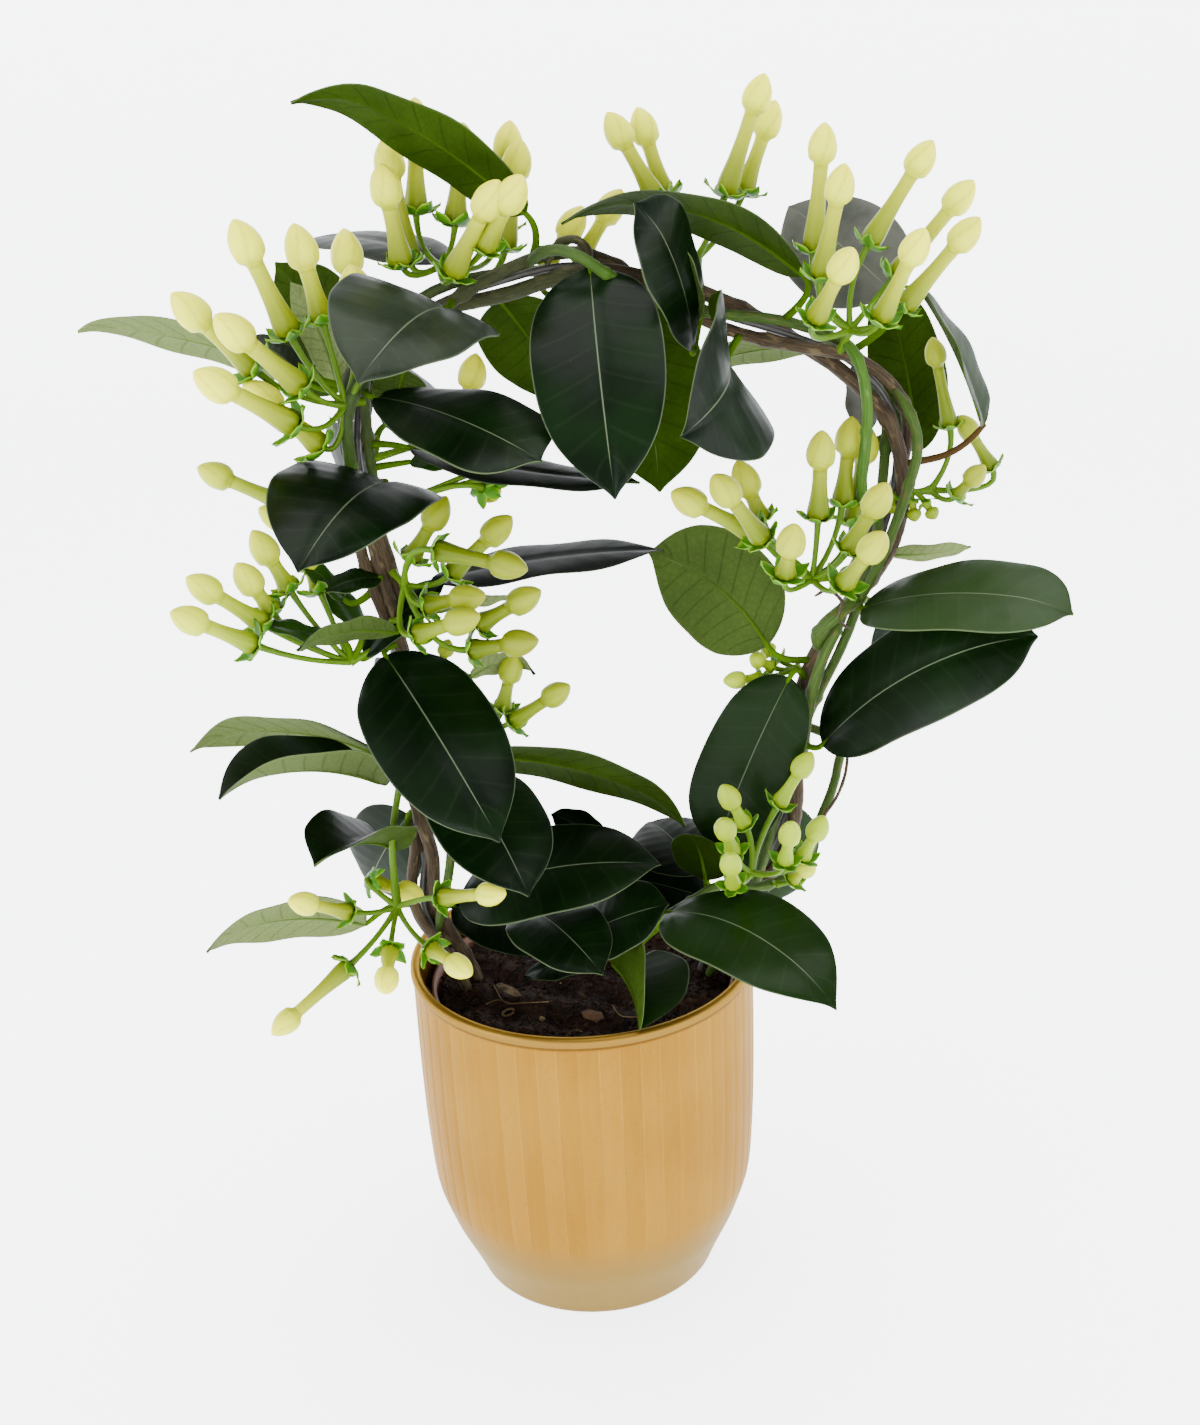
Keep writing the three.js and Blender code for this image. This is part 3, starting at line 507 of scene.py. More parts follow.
WIRE, PLASTIC = wire_finish(), plastic_finish()
PEAT = earth_finish("peat", shade(18, 11, 8), shade(44, 30, 22), 160)
CHIP = earth_finish("bark_chip", shade(24, 16, 10), shade(50, 38, 25), 110)
DRY_SCRAP = earth_finish("dry_scrap", shade(66, 52, 34), shade(104, 88, 62), 90)
SCRAP = earth_finish("leaf_scrap", shade(44, 36, 26), shade(92, 78, 58), 240)
BROWN_CHIP = earth_finish("brown_chip", shade(44, 30, 20), shade(78, 58, 40), 120)
print("small finishes:", WIRE.name, PLASTIC.name, PEAT.name, CHIP.name, DRY_SCRAP.name)

# %% [markdown]
# ## Gilt glaze
#
# The cover pot is fired clay under a thin satin gold. Its wall is cut into narrow upright facets,
# each a little lighter or darker than the next, which die away above a plain lower band. A lighter
# line along each facet's edge is a painted highlight. The bead of the rim is bronze, with a painted
# shadow line under it. Facets and streaks depend only on the angle round the pot, so they read an
# angle and a direction, and stay seamless all round.

# %% Gilt material
FACET_COUNT, FACET_TOP, FACET_FOOT = 54, 0.1262, 0.036
EDGE_GOLD, LIP_BRONZE, FOOT_GOLD = shade(216, 202, 172), shade(108, 82, 34), shade(100, 84, 44)
GOLD, LIGHT_GOLD, PANEL_GOLD = shade(112, 78, 20), shade(120, 86, 24), shade(142, 108, 42)
# The first of these golds paints a highlight along the facet edges.
LINE_GOLD, SPECK_GOLD = shade(158, 126, 62), shade(70, 50, 18)
# The second brown paints the shadow line under the rim's bead.
CRAZE_BROWN, BEAD_SHADOW_BROWN = shade(52, 36, 12), shade(60, 38, 12)


def facet_turn(x, y, count):
    """How many facets lie before a place round the pot, and how near it is to a facet's edge."""
    turn = y.maths("ARCTAN2", x) * count / (2 * math.pi)
    return turn, abs(turn.fraction() - 0.5) * 2


def facet_band(z, foot, top):
    """1 on the part of the wall that has facets, from above the foot to the bead."""
    return z.smooth(foot - 0.006, foot + 0.006) * (1 - z.smooth(top - 0.001, top))


def gilt_finish():
    gilt = Finish("gilt_glaze", Coat_Roughness=0.3, Specular_IOR_Level=0.07, Specular_Tint=EDGE_GOLD)
    x, y, z = gilt.parts_of(gilt.here())
    away = (x * x + y * y) ** 0.5
    around = gilt.xyz(x / away, y / away, z * 1.2)
    turn, edge = facet_turn(x, y, FACET_COUNT)
    panel = gilt.node(
        "ShaderNodeTexWhiteNoise", {"noise_dimensions": "1D"}, {"W": turn.maths("FLOOR")}, out="Value")
    streak, cloud, speck = gilt.noise(30, 4, around, 0.6), gilt.noise(20, 4), gilt.noise(700, 2)
    wall = facet_band(z, FACET_FOOT, FACET_TOP)
    crack_height = 0.075 + gilt.noise(22, 2, around) * 0.05
    crazed = edge.smooth(0.95, 0.99) * panel.smooth(0.78, 0.8)
    crazed = crazed * (1 - z.smooth(crack_height - 0.02, crack_height)) * wall
    foot, lip = 1 - z.smooth(0.018, 0.046), z.smooth(0.1268, 0.1273)
    # The inner wall below the rim is darker brown.
    inside = (1 - away.smooth(0.0605, 0.0615)) * z.smooth(0.06, 0.08)
    # Painted shadow: a dark line just under the bead.
    gap = 1 - abs(z - 0.1267).smooth(0.0002, 0.0008)
    # The lighter line along each facet's edge is a painted highlight.
    colour = gilt.layers(
        gilt.blend(cloud.smooth(0.3, 0.7), GOLD, LIGHT_GOLD),
        (wall * (panel * 0.2 + streak.smooth(0.35, 0.7) * 0.12), PANEL_GOLD),
        (edge.smooth(0.86, 1.0) * wall * panel.smooth(0.1, 0.7) * 0.22, LINE_GOLD),
        (crazed * 0.6, CRAZE_BROWN), (speck.smooth(0.58, 0.72) * 0.15, SPECK_GOLD), (foot * 0.8, FOOT_GOLD),
        (lip, LIP_BRONZE), (inside * 0.8, CRAZE_BROWN), (gap * 0.7, BEAD_SHADOW_BROWN))
    normal = gilt.bump(streak * wall + speck * 0.15 + panel * wall * 0.4, 0.25, 0.0004)
    return gilt.feed(
        Base_Color=colour, Metallic=0.55 - foot * 0.1 + lip * 0.3, Coat_Weight=0.02 + cloud * 0.05,
        Roughness=0.40 + streak * 0.1 + speck * 0.05 - lip * 0.1, Normal=normal)


GILT = gilt_finish()
print("gilt finish:", len(GILT.node_tree.nodes), "nodes")

# %% [markdown]
# ## Pieces and their meshes
#
# Each finished piece sits at the origin, with its place in its mesh, just as the imported solids do.
# One helper makes a mesh from points in millimetres and writes its readings as attributes. Another
# hands a piece over: it rides on the model's one body and stands for the solid that it replaces,
# which it hides.


def write_readings(mesh, readings):
    """Numbers or vectors for each point of a mesh, as attributes."""
    for reading, values in readings.items():
        values = np.asarray(values, dtype=float)
        kind, field = ("FLOAT_VECTOR", "vector") if values.ndim == 2 else ("FLOAT", "value")
        mesh.attributes.new(reading, kind, "POINT").data.foreach_set(field, values.ravel())


def make_mesh(name, points, faces, edges=(), **readings):
    mesh = bpy.data.meshes.new(name)
    mesh.from_pydata((np.asarray(points) * MM).tolist(), list(edges), list(faces))
    write_readings(mesh, readings)
    mesh.shade_smooth()
    return mesh


def make_solid(name, points, faces, **readings):
    """A mesh of closed parts, each turned so that its faces point outwards."""
    mesh = make_mesh(name, points, faces, **readings)
    shape = bmesh.new()
    shape.from_mesh(mesh)
    bmesh.ops.recalc_face_normals(shape, faces=shape.faces)
    shape.to_mesh(mesh)
    shape.free()
    return mesh


def place_piece(name, mesh, finish=None):
    if finish:
        mesh.materials.append(finish)
    return add_object(name, mesh)


def hand_over(piece, node):
    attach(piece, "root")
    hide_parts(node)


def strip_of_quads(rows, columns, closed=False):
    """Faces between rows of points; a closed strip joins its last column to its first."""
    faces = []
    for first in range(0, (rows - 1) * columns, columns):
        for column in range(columns if closed else columns - 1):
            near, beside = first + column, first + (column + 1) % columns
            faces.append((near, beside, beside + columns, near + columns))
    return faces


def capped_tube(rows, columns):
    """Faces of a tube of rows of points, with a cap at each end."""
    last = (rows - 1) * columns
    caps = tuple(range(columns - 1, -1, -1)), tuple(range(last, last + columns))
    return [*strip_of_quads(rows, columns, closed=True), *caps]


def shifted(faces, first):
    """Faces whose points come after the first ones of a longer list."""
    return [tuple(first + corner for corner in face) for face in faces]


# %% [markdown]
# ## The hoop's line and the winding stems
#
# The hoop is one bent wire. Its line was read at some twenty places, and a centripetal Catmull-Rom
# curve runs through them, which never loops or overshoots between uneven points. Each stem winds
# round that line at its own distance and starting angle, so one rule places all three.

# %% Smooth lines
STEPS_BETWEEN = 24


def step_lengths(line):
    return np.linalg.norm(np.diff(line, axis=0), axis=1)


def smooth_line(points, count):
    """Evenly spaced points along a centripetal Catmull-Rom curve through the given ones."""
    points = np.asarray(points, dtype=float)
    ends = np.vstack([2 * points[0] - points[1], points, 2 * points[-1] - points[-2]])
    share = np.linspace(0, 1, STEPS_BETWEEN, endpoint=False)[:, None]
    dense = []
    for before, start, end, after in zip(ends, ends[1:], ends[2:], ends[3:]):
        first, middle, last = (math.sqrt(np.linalg.norm(b - a)) for a, b in
                               ((before, start), (start, end), (end, after)))
        leaving = ((start - before) / first - (end - before) / (first + middle)) * middle + end - start
        arriving = ((after - end) / last - (after - start) / (middle + last)) * middle + end - start
        square = -3 * start + 3 * end - 2 * leaving - arriving
        cube = 2 * start - 2 * end + leaving + arriving
        dense.append(start + share * (leaving + share * (square + share * cube)))
    dense = np.vstack([*dense, points[-1]])
    length = np.concatenate([[0], np.cumsum(step_lengths(dense))])
    marks = np.linspace(0, length[-1], count)
    return np.column_stack([np.interp(marks, length, dense[:, axis]) for axis in range(dense.shape[1])])


def bent_line(start, elbow, end, count):
    """Points along a bend from start to end that leans out to the elbow."""
    share = np.linspace(0, 1, count)[:, None]
    return (1 - share) ** 2 * start + 2 * share * (1 - share) * elbow + share**2 * end

# %% The hoop's line, from its left foot over the top to its right foot
SOIL_TOP, WIRE_FOOT, WIRE_RADIUS, LEG = 118, 100, 1.3, 44
HOOP_LINE = [
    (424, 905), (427, 840), (414, 740), (396, 655), (380, 580), (364, 500), (357, 430), (372, 360),
    (420, 314), (500, 281), (580, 266), (650, 288), (715, 312), (790, 335), (852, 362), (892, 410),
    (896, 470), (876, 550), (842, 615), (815, 690), (800, 765), (780, 830), (748, 890), (726, 925)]
hoop_points = [
    (-LEG, 0, WIRE_FOOT), (-LEG, 0, SOIL_TOP), *(seen(*place) for place in HOOP_LINE),
    (LEG, 0, SOIL_TOP), (LEG, 0, WIRE_FOOT)]
HOOP_SAMPLES = 2001
hoop_line = smooth_line(hoop_points, HOOP_SAMPLES)
hoop_heading = np.gradient(hoop_line, axis=0)
hoop_heading /= np.linalg.norm(hoop_heading, axis=1)[:, None]
print("hoop:", round(float(step_lengths(hoop_line).sum())), "mm of wire")

# %% The stems that wind round it
STRANDS = {
    "stem_old": dict(radius=2.5, orbit=4.6, phase=20, start=0, end=0.93),
    "stem_second": dict(radius=2.1, orbit=4.3, phase=150, start=0, end=0.74),
    "stem_young": dict(radius=1.8, orbit=4.2, phase=265, start=0.3, end=1)}
TURNS, WOUND_FROM, WOUND_TO = 5.5, 0.06, 0.94
STRAND_POINTS = 320
DEPTH_WAY = np.array([0.0, 1.0, 0.0])


def strand_line(orbit, phase, start, end, **_):
    line = []
    for share in np.linspace(start, end, STRAND_POINTS):
        at = round(share * (HOOP_SAMPLES - 1))
        outward = unit(np.cross(hoop_heading[at], DEPTH_WAY))
        angle = math.radians(phase) + 2 * math.pi * TURNS * min(max(share, WOUND_FROM), WOUND_TO)
        line.append(hoop_line[at] + orbit * (outward * math.cos(angle) + DEPTH_WAY * math.sin(angle)))
    return np.array(line)


stems = {name: (strand_line(**strand), strand["radius"]) for name, strand in STRANDS.items()}
print("stems:", {name: len(line) for name, (line, _) in stems.items()})

# %% Where a stalk leaves its stem
SUNK_IN_STEM = 0.55


def root_for(place):
    """A point just under the bark of the nearest stem, on the side that faces the place."""
    samples = np.vstack([line for line, _ in stems.values()])
    radii = np.concatenate([np.full(len(line), radius) for line, radius in stems.values()])
    nearest = np.argmin(np.linalg.norm(samples - place, axis=1) - radii)
    outward = unit(place - samples[nearest])
    return samples[nearest] + outward * radii[nearest] * SUNK_IN_STEM

# %% The low shoot, which leaves the stems on the right and hangs across the pot's front to the left
LOW_SHOOT_RADIUS, LOW_SHOOT_POINTS = 1.7, 90
LOW_SHOOT = [
    (840, 742, -1), (838, 765, -3), (832, 790, -7), (821, 817, -11), (812, 845, -15), (795, 872, -19),
    (758, 887, -22), (718, 886, -24), (690, 902, -25), (656, 920, -25), (615, 931, -22), (584, 935, -18)]
shoot = [seen(*place) for place in LOW_SHOOT]
shoot_line = smooth_line([root_for(shoot[0]), *shoot], LOW_SHOOT_POINTS)
stems["low_shoot"] = (shoot_line, LOW_SHOOT_RADIUS)
print("low shoot:", round(float(step_lengths(shoot_line).sum())), "mm long")

# %% [markdown]
# ## One tree for everything that follows a line
#
# The wire, the stems and the stalks are all tubes along a line. A Geometry Nodes tree turns a
# polyline into a curve, spaces its points evenly, sweeps a ring along it and gives it skin: noise
# moves the surface in and out, more at the joints where a pair of leaves once grew. The tree also
# stores the coordinate that the bark pattern reads. Sizes are inputs, so one tree serves a smooth
# wire and a knobbly old stem alike.

# %% The tree for tubes
BARK_PER_METRE = 130


def new_tree(name, inputs):
    """A Geometry Nodes tree with named inputs; returns its bench and the incoming wires by name."""
    tree = bpy.data.node_groups.new(name, "GeometryNodeTree")
    tree.interface.new_socket("Geometry", in_out="INPUT", socket_type="NodeSocketGeometry")
    for socket, (kind, value) in inputs.items():
        made = tree.interface.new_socket(socket, in_out="INPUT", socket_type="NodeSocket" + kind)
        if value is not None:
            made.default_value = value
    tree.interface.new_socket("Geometry", in_out="OUTPUT", socket_type="NodeSocketGeometry")
    bench = Bench(tree)
    entry = tree.nodes.new("NodeGroupInput")
    return bench, {socket.name: Wire(bench, socket) for socket in entry.outputs if socket.name}


def finish_tree(bench, geometry, material):
    """Real geometry, shaded smooth, in one material: what every tree here ends with."""
    real = bench.node("GeometryNodeRealizeInstances", None, {"Geometry": geometry})
    smooth = bench.node("GeometryNodeSetShadeSmooth", None, {"Geometry": real})
    painted = bench.node("GeometryNodeSetMaterial", None, {"Geometry": smooth, "Material": material})
    exit_node = bench.tree.nodes.new("NodeGroupOutput")
    bench.tree.links.new(painted.socket, exit_node.inputs["Geometry"])
    return bench.tree


def named(bench, name, kind="FLOAT"):
    sockets = {"Name": name}
    return bench.node("GeometryNodeInputNamedAttribute", {"data_type": kind}, sockets, out="Attribute")


def stored(bench, geometry, name, value, kind="FLOAT"):
    sockets = {"Geometry": geometry, "Name": name, "Value": value}
    return bench.node("GeometryNodeStoreNamedAttribute", {"data_type": kind, "domain": "POINT"}, sockets)


def moved(bench, geometry, offset):
    return bench.node("GeometryNodeSetPosition", None, {"Geometry": geometry, "Offset": offset})


def placed_on(bench, points, part, rotation, scale):
    """An object's mesh at each of the points."""
    shape = bench.node("GeometryNodeObjectInfo", None, {"Object": part}, out="Geometry")
    sockets = {"Points": points, "Instance": shape, "Rotation": rotation, "Scale": scale}
    return bench.node("GeometryNodeInstanceOnPoints", None, sockets)


def tube_along(bench, line, sides, spacing):
    """A closed tube of the radius that the line's points carry in `thick`, with its bark coordinate."""
    curve = bench.node("GeometryNodeMeshToCurve", None, {"Mesh": line})
    sockets = {"Curve": curve, "Length": spacing}
    even = bench.node("GeometryNodeResampleCurve", {"mode": "LENGTH"}, sockets)
    path = stored(bench, even, "length", bench.node("GeometryNodeSplineParameter", out="Length"))
    sockets = {"Resolution": sides, "Radius": 1.0}
    ring = bench.node("GeometryNodeCurvePrimitiveCircle", {"mode": "RADIUS"}, sockets)
    angle = bench.node("GeometryNodeSplineParameter", out="Factor") * (2 * math.pi)
    round_it = bench.xyz(angle.maths("COSINE"), angle.maths("SINE"), 0.0)
    profile = stored(bench, ring, "around", round_it, "FLOAT_VECTOR")
    swept = bench.node("GeometryNodeCurveToMesh", None, {
        "Curve": path, "Profile Curve": profile, "Scale": named(bench, "thick"), "Fill Caps": True})
    up = bench.xyz(0.0, 0.0, named(bench, "length") * BARK_PER_METRE)
    bark = bench.vector_maths("ADD", named(bench, "around", "FLOAT_VECTOR"), up)
    return stored(bench, swept, "bark", bark, "FLOAT_VECTOR")


def stem_tree():
    inputs = {"Sides": ("Int", 12), "Spacing": ("Float", 0.001), "Roughness": ("Float", 0.0002),
              "Joint": ("Float", 0.0), "Joint Spacing": ("Float", 0.05), "Material": ("Material", None)}
    bench, given = new_tree("stem", inputs)
    tube = tube_along(bench, given["Geometry"], given["Sides"], given["Spacing"])
    grain = bench.noise(2.2, 3, named(bench, "bark", "FLOAT_VECTOR")) - 0.5
    beat = (named(bench, "length") / given["Joint Spacing"]).fraction()
    joint = 1 - abs(beat - 0.5).smooth(0.0, 0.07)
    push = grain * given["Roughness"] * 2 + joint * given["Joint"]
    offset = bench.vector_maths("SCALE", {"Vector": bench.node("GeometryNodeInputNormal"), "Scale": push})
    return finish_tree(bench, moved(bench, tube, offset), given["Material"])


def grown(name, mesh, tree, **inputs):
    """The plain mesh that a tree grows from a mesh, as a new piece."""
    seed = place_piece(name + "_seed", mesh)
    modifier = seed.modifiers.new(tree.name, "NODES")
    modifier.node_group = tree
    socket_of = {
        socket.name: socket.identifier for socket in tree.interface.items_tree if socket.in_out == "INPUT"}
    for key, value in inputs.items():
        modifier[socket_of[key.replace("_", " ")]] = value
    evaluated = seed.evaluated_get(bpy.context.evaluated_depsgraph_get())
    result = bpy.data.meshes.new_from_object(evaluated)
    bpy.data.objects.remove(seed)
    result.name = name
    return place_piece(name, result)


def line_mesh(name, lines, radii):
    """One mesh of polylines, with the radius at each point in metres as `thick`."""
    points, edges, thick = [], [], []
    for line, radius in zip(lines, radii):
        first = len(points)
        points.extend(line)
        thick.extend(np.broadcast_to(np.asarray(radius, dtype=float) * MM, len(line)))
        edges.extend((first + i, first + i + 1) for i in range(len(line) - 1))
    return make_mesh(name, points, [], edges, thick=thick)


STEM_TREE = stem_tree()
print("stem tree:", len(STEM_TREE.nodes), "nodes")

# %% The wire and the stems
HOOP_STEP = 6
LOOKS = {
    "stem_old": dict(Roughness=0.0003, Joint=0.0007, Joint_Spacing=0.062, Material=OLD_BARK),
    "stem_second": dict(Roughness=0.00025, Joint=0.0006, Joint_Spacing=0.055, Material=OLD_BARK),
    "stem_young": dict(Roughness=0.0002, Joint=0.0007, Joint_Spacing=0.048, Material=GREEN_BARK),
    "low_shoot": dict(Roughness=0.0002, Joint=0.0005, Joint_Spacing=0.03, Material=GREEN_BARK)}
for name, (line, radius) in stems.items():
    seed = line_mesh(name, [line], [radius])
    hand_over(grown(name + "_bark", seed, STEM_TREE, Sides=14, Spacing=0.0009, **LOOKS[name]), name)
wire_line = line_mesh("hoop", [hoop_line[::HOOP_STEP]], [WIRE_RADIUS])
wire = grown("hoop_wire", wire_line, STEM_TREE, Sides=10, Spacing=0.002, Roughness=0.0, Material=WIRE)
hand_over(wire, "hoop")
print("stem pieces made:", len(stems) + 1)

# %% Shorter shoots, petiole loops and tendrils beside the main stems
# Each row: the solid it belongs to, its radius, its finish, and the places it passes.
SHOOTS = {
    "top_green_shoot": ("stem_young", 1.9, FRESH_SHOOT, [
        (528, 264, -4), (543, 252, -14), (560, 250, -18), (580, 257, -20), (602, 271, -19), (624, 285, -16),
        (646, 298, -6)]),
    "top_brown_loop": ("stem_old", 1.4, OLD_BARK, [
        (547, 264, -4), (553, 250, -9), (563, 241, -12), (577, 240, -13), (587, 249, -12), (589, 262, -7)]),
    "right_green_shoot": ("stem_young", 1.9, FRESH_SHOOT, [
        (838, 335, -4), (852, 350, -10), (862, 372, -13), (867, 405, -14), (866, 440, -14), (862, 475, -13),
        (862, 505, -8)]),
    "right_corky_shoot": ("stem_second", 1.8, GREEN_BARK, [
        (893, 388, -2), (905, 404, -8), (916, 430, -11), (917, 455, -12), (909, 485, -12), (897, 520, -11),
        (884, 552, -10), (868, 585, -8), (852, 610, -3)]),
    "left_low_filler": ("stem_second", 2.5, OLD_BARK, [
        (362, 500, 0), (370, 530, -1), (381, 572, -2), (393, 616, -3), (405, 660, -2), (413, 700, 0)]),
    "left_high_filler": ("stem_young", 2.2, FRESH_SHOOT, [
        (366, 368, -2), (354, 390, -8), (347, 420, -10), (349, 452, -9), (356, 490, -3)]),
    "left_foot_shoot": ("stem_young", 1.7, GREEN_BARK, [
        (440, 800, -2), (449, 822, -7), (451, 850, -9), (448, 878, -8), (442, 905, -5), (438, 930, 0)]),
    "left_foot_filler": ("stem_second", 2.3, OLD_BARK, [
        (410, 700, 0), (417, 745, 2), (423, 800, 3), (427, 850, 3), (431, 900, 3), (434, 935, 3)]),
    "right_joint": ("stem_young", 2.6, GREEN_BARK, [
        (822, 650, -2), (818, 636, -8), (826, 624, -11), (838, 614, -11), (850, 604, -8), (858, 596, -2)]),
    "right_lower_shoot": ("stem_young", 2.0, GREEN_BARK, [
        (848, 600, -2), (836, 630, -8), (822, 660, -9), (812, 692, -8), (806, 725, -4), (803, 760, 0)]),
    "low_tendril": ("low_shoot", 0.6, OLD_BARK, [
        (848, 752, -4), (845, 775, -9), (836, 798, -12), (822, 818, -12)]),
    "right_tendril": ("stem_second", 0.6, OLD_BARK, [
        (815, 596, -10), (828, 590, -14), (842, 602, -14), (838, 618, -13), (850, 630, -9)])}
SHOOT_POINTS = 60
TAPER = np.interp(np.linspace(0, 1, SHOOT_POINTS), [0, 0.1, 0.9, 1], [0.6, 1, 1, 0.6])
for name, (node, radius, finish, places) in SHOOTS.items():
    seed = line_mesh(name, [smooth_line([seen(*place) for place in places], SHOOT_POINTS)], [radius * TAPER])
    piece = grown(name, seed, STEM_TREE, Sides=10, Spacing=0.001, Roughness=0.0001 * radius,
                  Joint=0.0002 * radius, Joint_Spacing=0.024, Material=finish)
    hand_over(piece, node)
print("shoots:", len(SHOOTS))

# %% [markdown]
# ## The shape of a leaf
#
# A leaf is an oval blade with a short drawn-out point. Its middle line runs from the blade's base to
# its tip, arched by bow and sway, and the last quarter may hook down. The frame of the blade is
# counted from the viewer: turn 0 shows the upper face, 90 shows the edge with the upper face up, and
# 180 shows the under face. The solid has five bands; here the same rule is read at many more places,
# and the blade gets what a bent sheet of living tissue has: a groove over the midrib, soft pleats
# between the side veins, a wavy margin that rolls down a little, and a thin rounded edge.

# %% The blade's outline and middle line
# The blade's width, as a share of its greatest width, at shares of its length.
OUTLINES = {
    "plain": [
        (0, 0.0), (0.015, 0.2), (0.05, 0.44), (0.12, 0.7), (0.22, 0.9), (0.35, 0.99), (0.48, 1.0),
        (0.62, 0.95), (0.75, 0.81), (0.84, 0.61), (0.9, 0.41), (0.945, 0.22), (0.975, 0.09), (1, 0.012)],
    "blunt": [
        (0, 0.0), (0.015, 0.22), (0.05, 0.47), (0.12, 0.7), (0.22, 0.86), (0.35, 0.95), (0.5, 1.0),
        (0.65, 0.99), (0.78, 0.91), (0.87, 0.75), (0.93, 0.53), (0.965, 0.28), (0.985, 0.1), (1, 0.015)],
    "broad": [
        (0, 0.0), (0.03, 0.16), (0.1, 0.36), (0.2, 0.58), (0.35, 0.81), (0.5, 0.95), (0.65, 1.0),
        (0.78, 0.96), (0.87, 0.83), (0.93, 0.6), (0.965, 0.3), (0.985, 0.12), (1, 0.015)],
    "heart": [
        (0, 0.58), (0.01, 0.7), (0.03, 0.81), (0.07, 0.91), (0.14, 0.98), (0.24, 1.0), (0.38, 0.99),
        (0.52, 0.93), (0.66, 0.8), (0.79, 0.59), (0.89, 0.36), (0.96, 0.13), (1, 0.015)]}
OUTLINE_POINTS = 400
outline_of = {form: smooth_line(points, OUTLINE_POINTS) for form, points in OUTLINES.items()}
HOOK_FROM = 0.75
# What a leaf is like where its row says nothing else.
PLAIN = dict(twist=0, bow=0, sway=0, hook=0, cup=0, via=(), brown=0, form="plain", lobes=(0, 0), slim=1,
             tone=0, pale=0, grey=0, dim=0)


def leaf_row(side, u, v, depth, tip_u, tip_v, long, wide, turn, **more):
    given = dict(side=side, base=(u, v, depth), tip=(tip_u, tip_v), long=long, wide=wide, turn=turn)
    return PLAIN | given | more


def near(*places, **more):
    return leaf_row("near", *places, **more)


def far(*places, **more):
    return leaf_row("far", *places, **more)


def outline(share, form="plain"):
    return float(np.interp(share, outline_of[form][:, 0], outline_of[form][:, 1]))


def leaf_frame(base, tip, turn):
    along = unit(tip - base)
    viewer = unit(EYE - base)
    open_way = unit(viewer - along * (viewer @ along))
    lift = np.cross(along, open_way)
    if lift @ ABOVE + 0.5 * (lift @ RIGHT) < 0:
        lift = -lift
    cos, sin = math.cos(math.radians(turn)), math.sin(math.radians(turn))
    return open_way * cos + lift * sin, lift * cos - open_way * sin


def spine(leaf, start, end, share):
    """A point of the middle line, with the ways that the blade's face and its side look there."""
    face, side = leaf_frame(start, end, leaf["turn"] + leaf["twist"] * (share - 0.5))
    arch = 4 * share * (1 - share)
    curl = leaf["hook"] * (max(share - HOOK_FROM, 0) / (1 - HOOK_FROM)) ** 2
    point = start + (end - start) * share + face * (leaf["bow"] * arch - curl)
    return point + side * leaf["sway"] * arch, face, side


print("outline at a tenth, half and nine tenths:", [round(outline(share), 2) for share in (0.1, 0.5, 0.9)])

# %% One blade as a closed sheet
ALONG, ACROSS = 44, 20
THICK, EDGE_THICK, THINNEST = 0.8, 0.35, 0.12
GROOVE, GROOVE_WIDE, PLEAT, MARGIN_ROLL = 0.6, 1.6, 0.07, 0.05
WAVES, WAVE_HIGH, OTHER_SIDE = 2.3, 0.6, 1.7
CUP_FULL, STEP_ASIDE = 0.1, 0.02
# A lobe leans back over this share of the blade; its corner is rounded off by a little.
LOBE_UNTIL, LOBE_CORNER, LOBE_ROUND, LOBE_BEND = 0.4, 0.45, 0.03, 0.3


def blade_stations():
    """Shares of the length, closer together towards both ends, where the outline turns fast."""
    even = np.linspace(0, 1, ALONG + 1)
    return 0.004 + 0.996 * (0.45 * even + 0.55 * (1 - np.cos(math.pi * even)) / 2)


def blade(leaf, start, end, chance):
    """Points and readings of the upper and the lower sheet of one blade."""
    wave, phase = chance.uniform(0.5, 1.1), chance.uniform(0, 2 * math.pi)
    offs = np.sin(np.linspace(-math.pi / 2, math.pi / 2, ACROSS + 1))
    points, normals, readings = [], [], []
    for share in blade_stations():
        point, face, side = spine(leaf, start, end, share)
        before, after = (spine(leaf, start, end, min(max(share + step, 0), 1))[0]
                         for step in (-STEP_ASIDE, STEP_ASIDE))
        ahead = unit(after - before)
        face = unit(face - ahead * (face @ ahead))
        across = np.cross(ahead, face)
        across = across if across @ side > 0 else -across
        half = max(leaf["wide"] / 2 * outline(share, leaf["form"]), THINNEST)
        back = max(1 - share / LOBE_UNTIL, 0) ** 1.5 * (1 - LOBE_CORNER * math.exp(-share / LOBE_ROUND))
        cup = math.radians(leaf["cup"]) * min(share / CUP_FULL, 1)
        for off in offs:
            size = abs(off)
            lift = half * math.sin(cup) * size**1.25
            lift += GROOVE * (1 - math.exp(-((off * half / GROOVE_WIDE) ** 2)) - 0.5)
            lift -= MARGIN_ROLL * half * size**4
            lift += PLEAT * math.sin(2 * math.pi * vein_count(share, size)) * math.sin(math.pi * size)
            turn = 2 * math.pi * WAVES * share + phase + (OTHER_SIDE if off > 0 else 0)
            lift += wave * math.sin(turn) * size**3 * WAVE_HIGH
            wide, lobe = (half * leaf["slim"], leaf["lobes"][0]) if off < 0 else (half, leaf["lobes"][1])
            lean = lobe * back * size * (1 + LOBE_BEND) / (size + LOBE_BEND)
            points.append(point + across * off * wide * math.cos(cup) + face * lift - ahead * lean)
            normals.append(face)
            readings.append((off, share, EDGE_THICK + (THICK - EDGE_THICK) * (1 - size**6)))
    points, normals, readings = np.array(points), np.array(normals), np.array(readings)
    rise = normals * (readings[:, 2:3] / 2)
    return points + rise, points - rise, readings


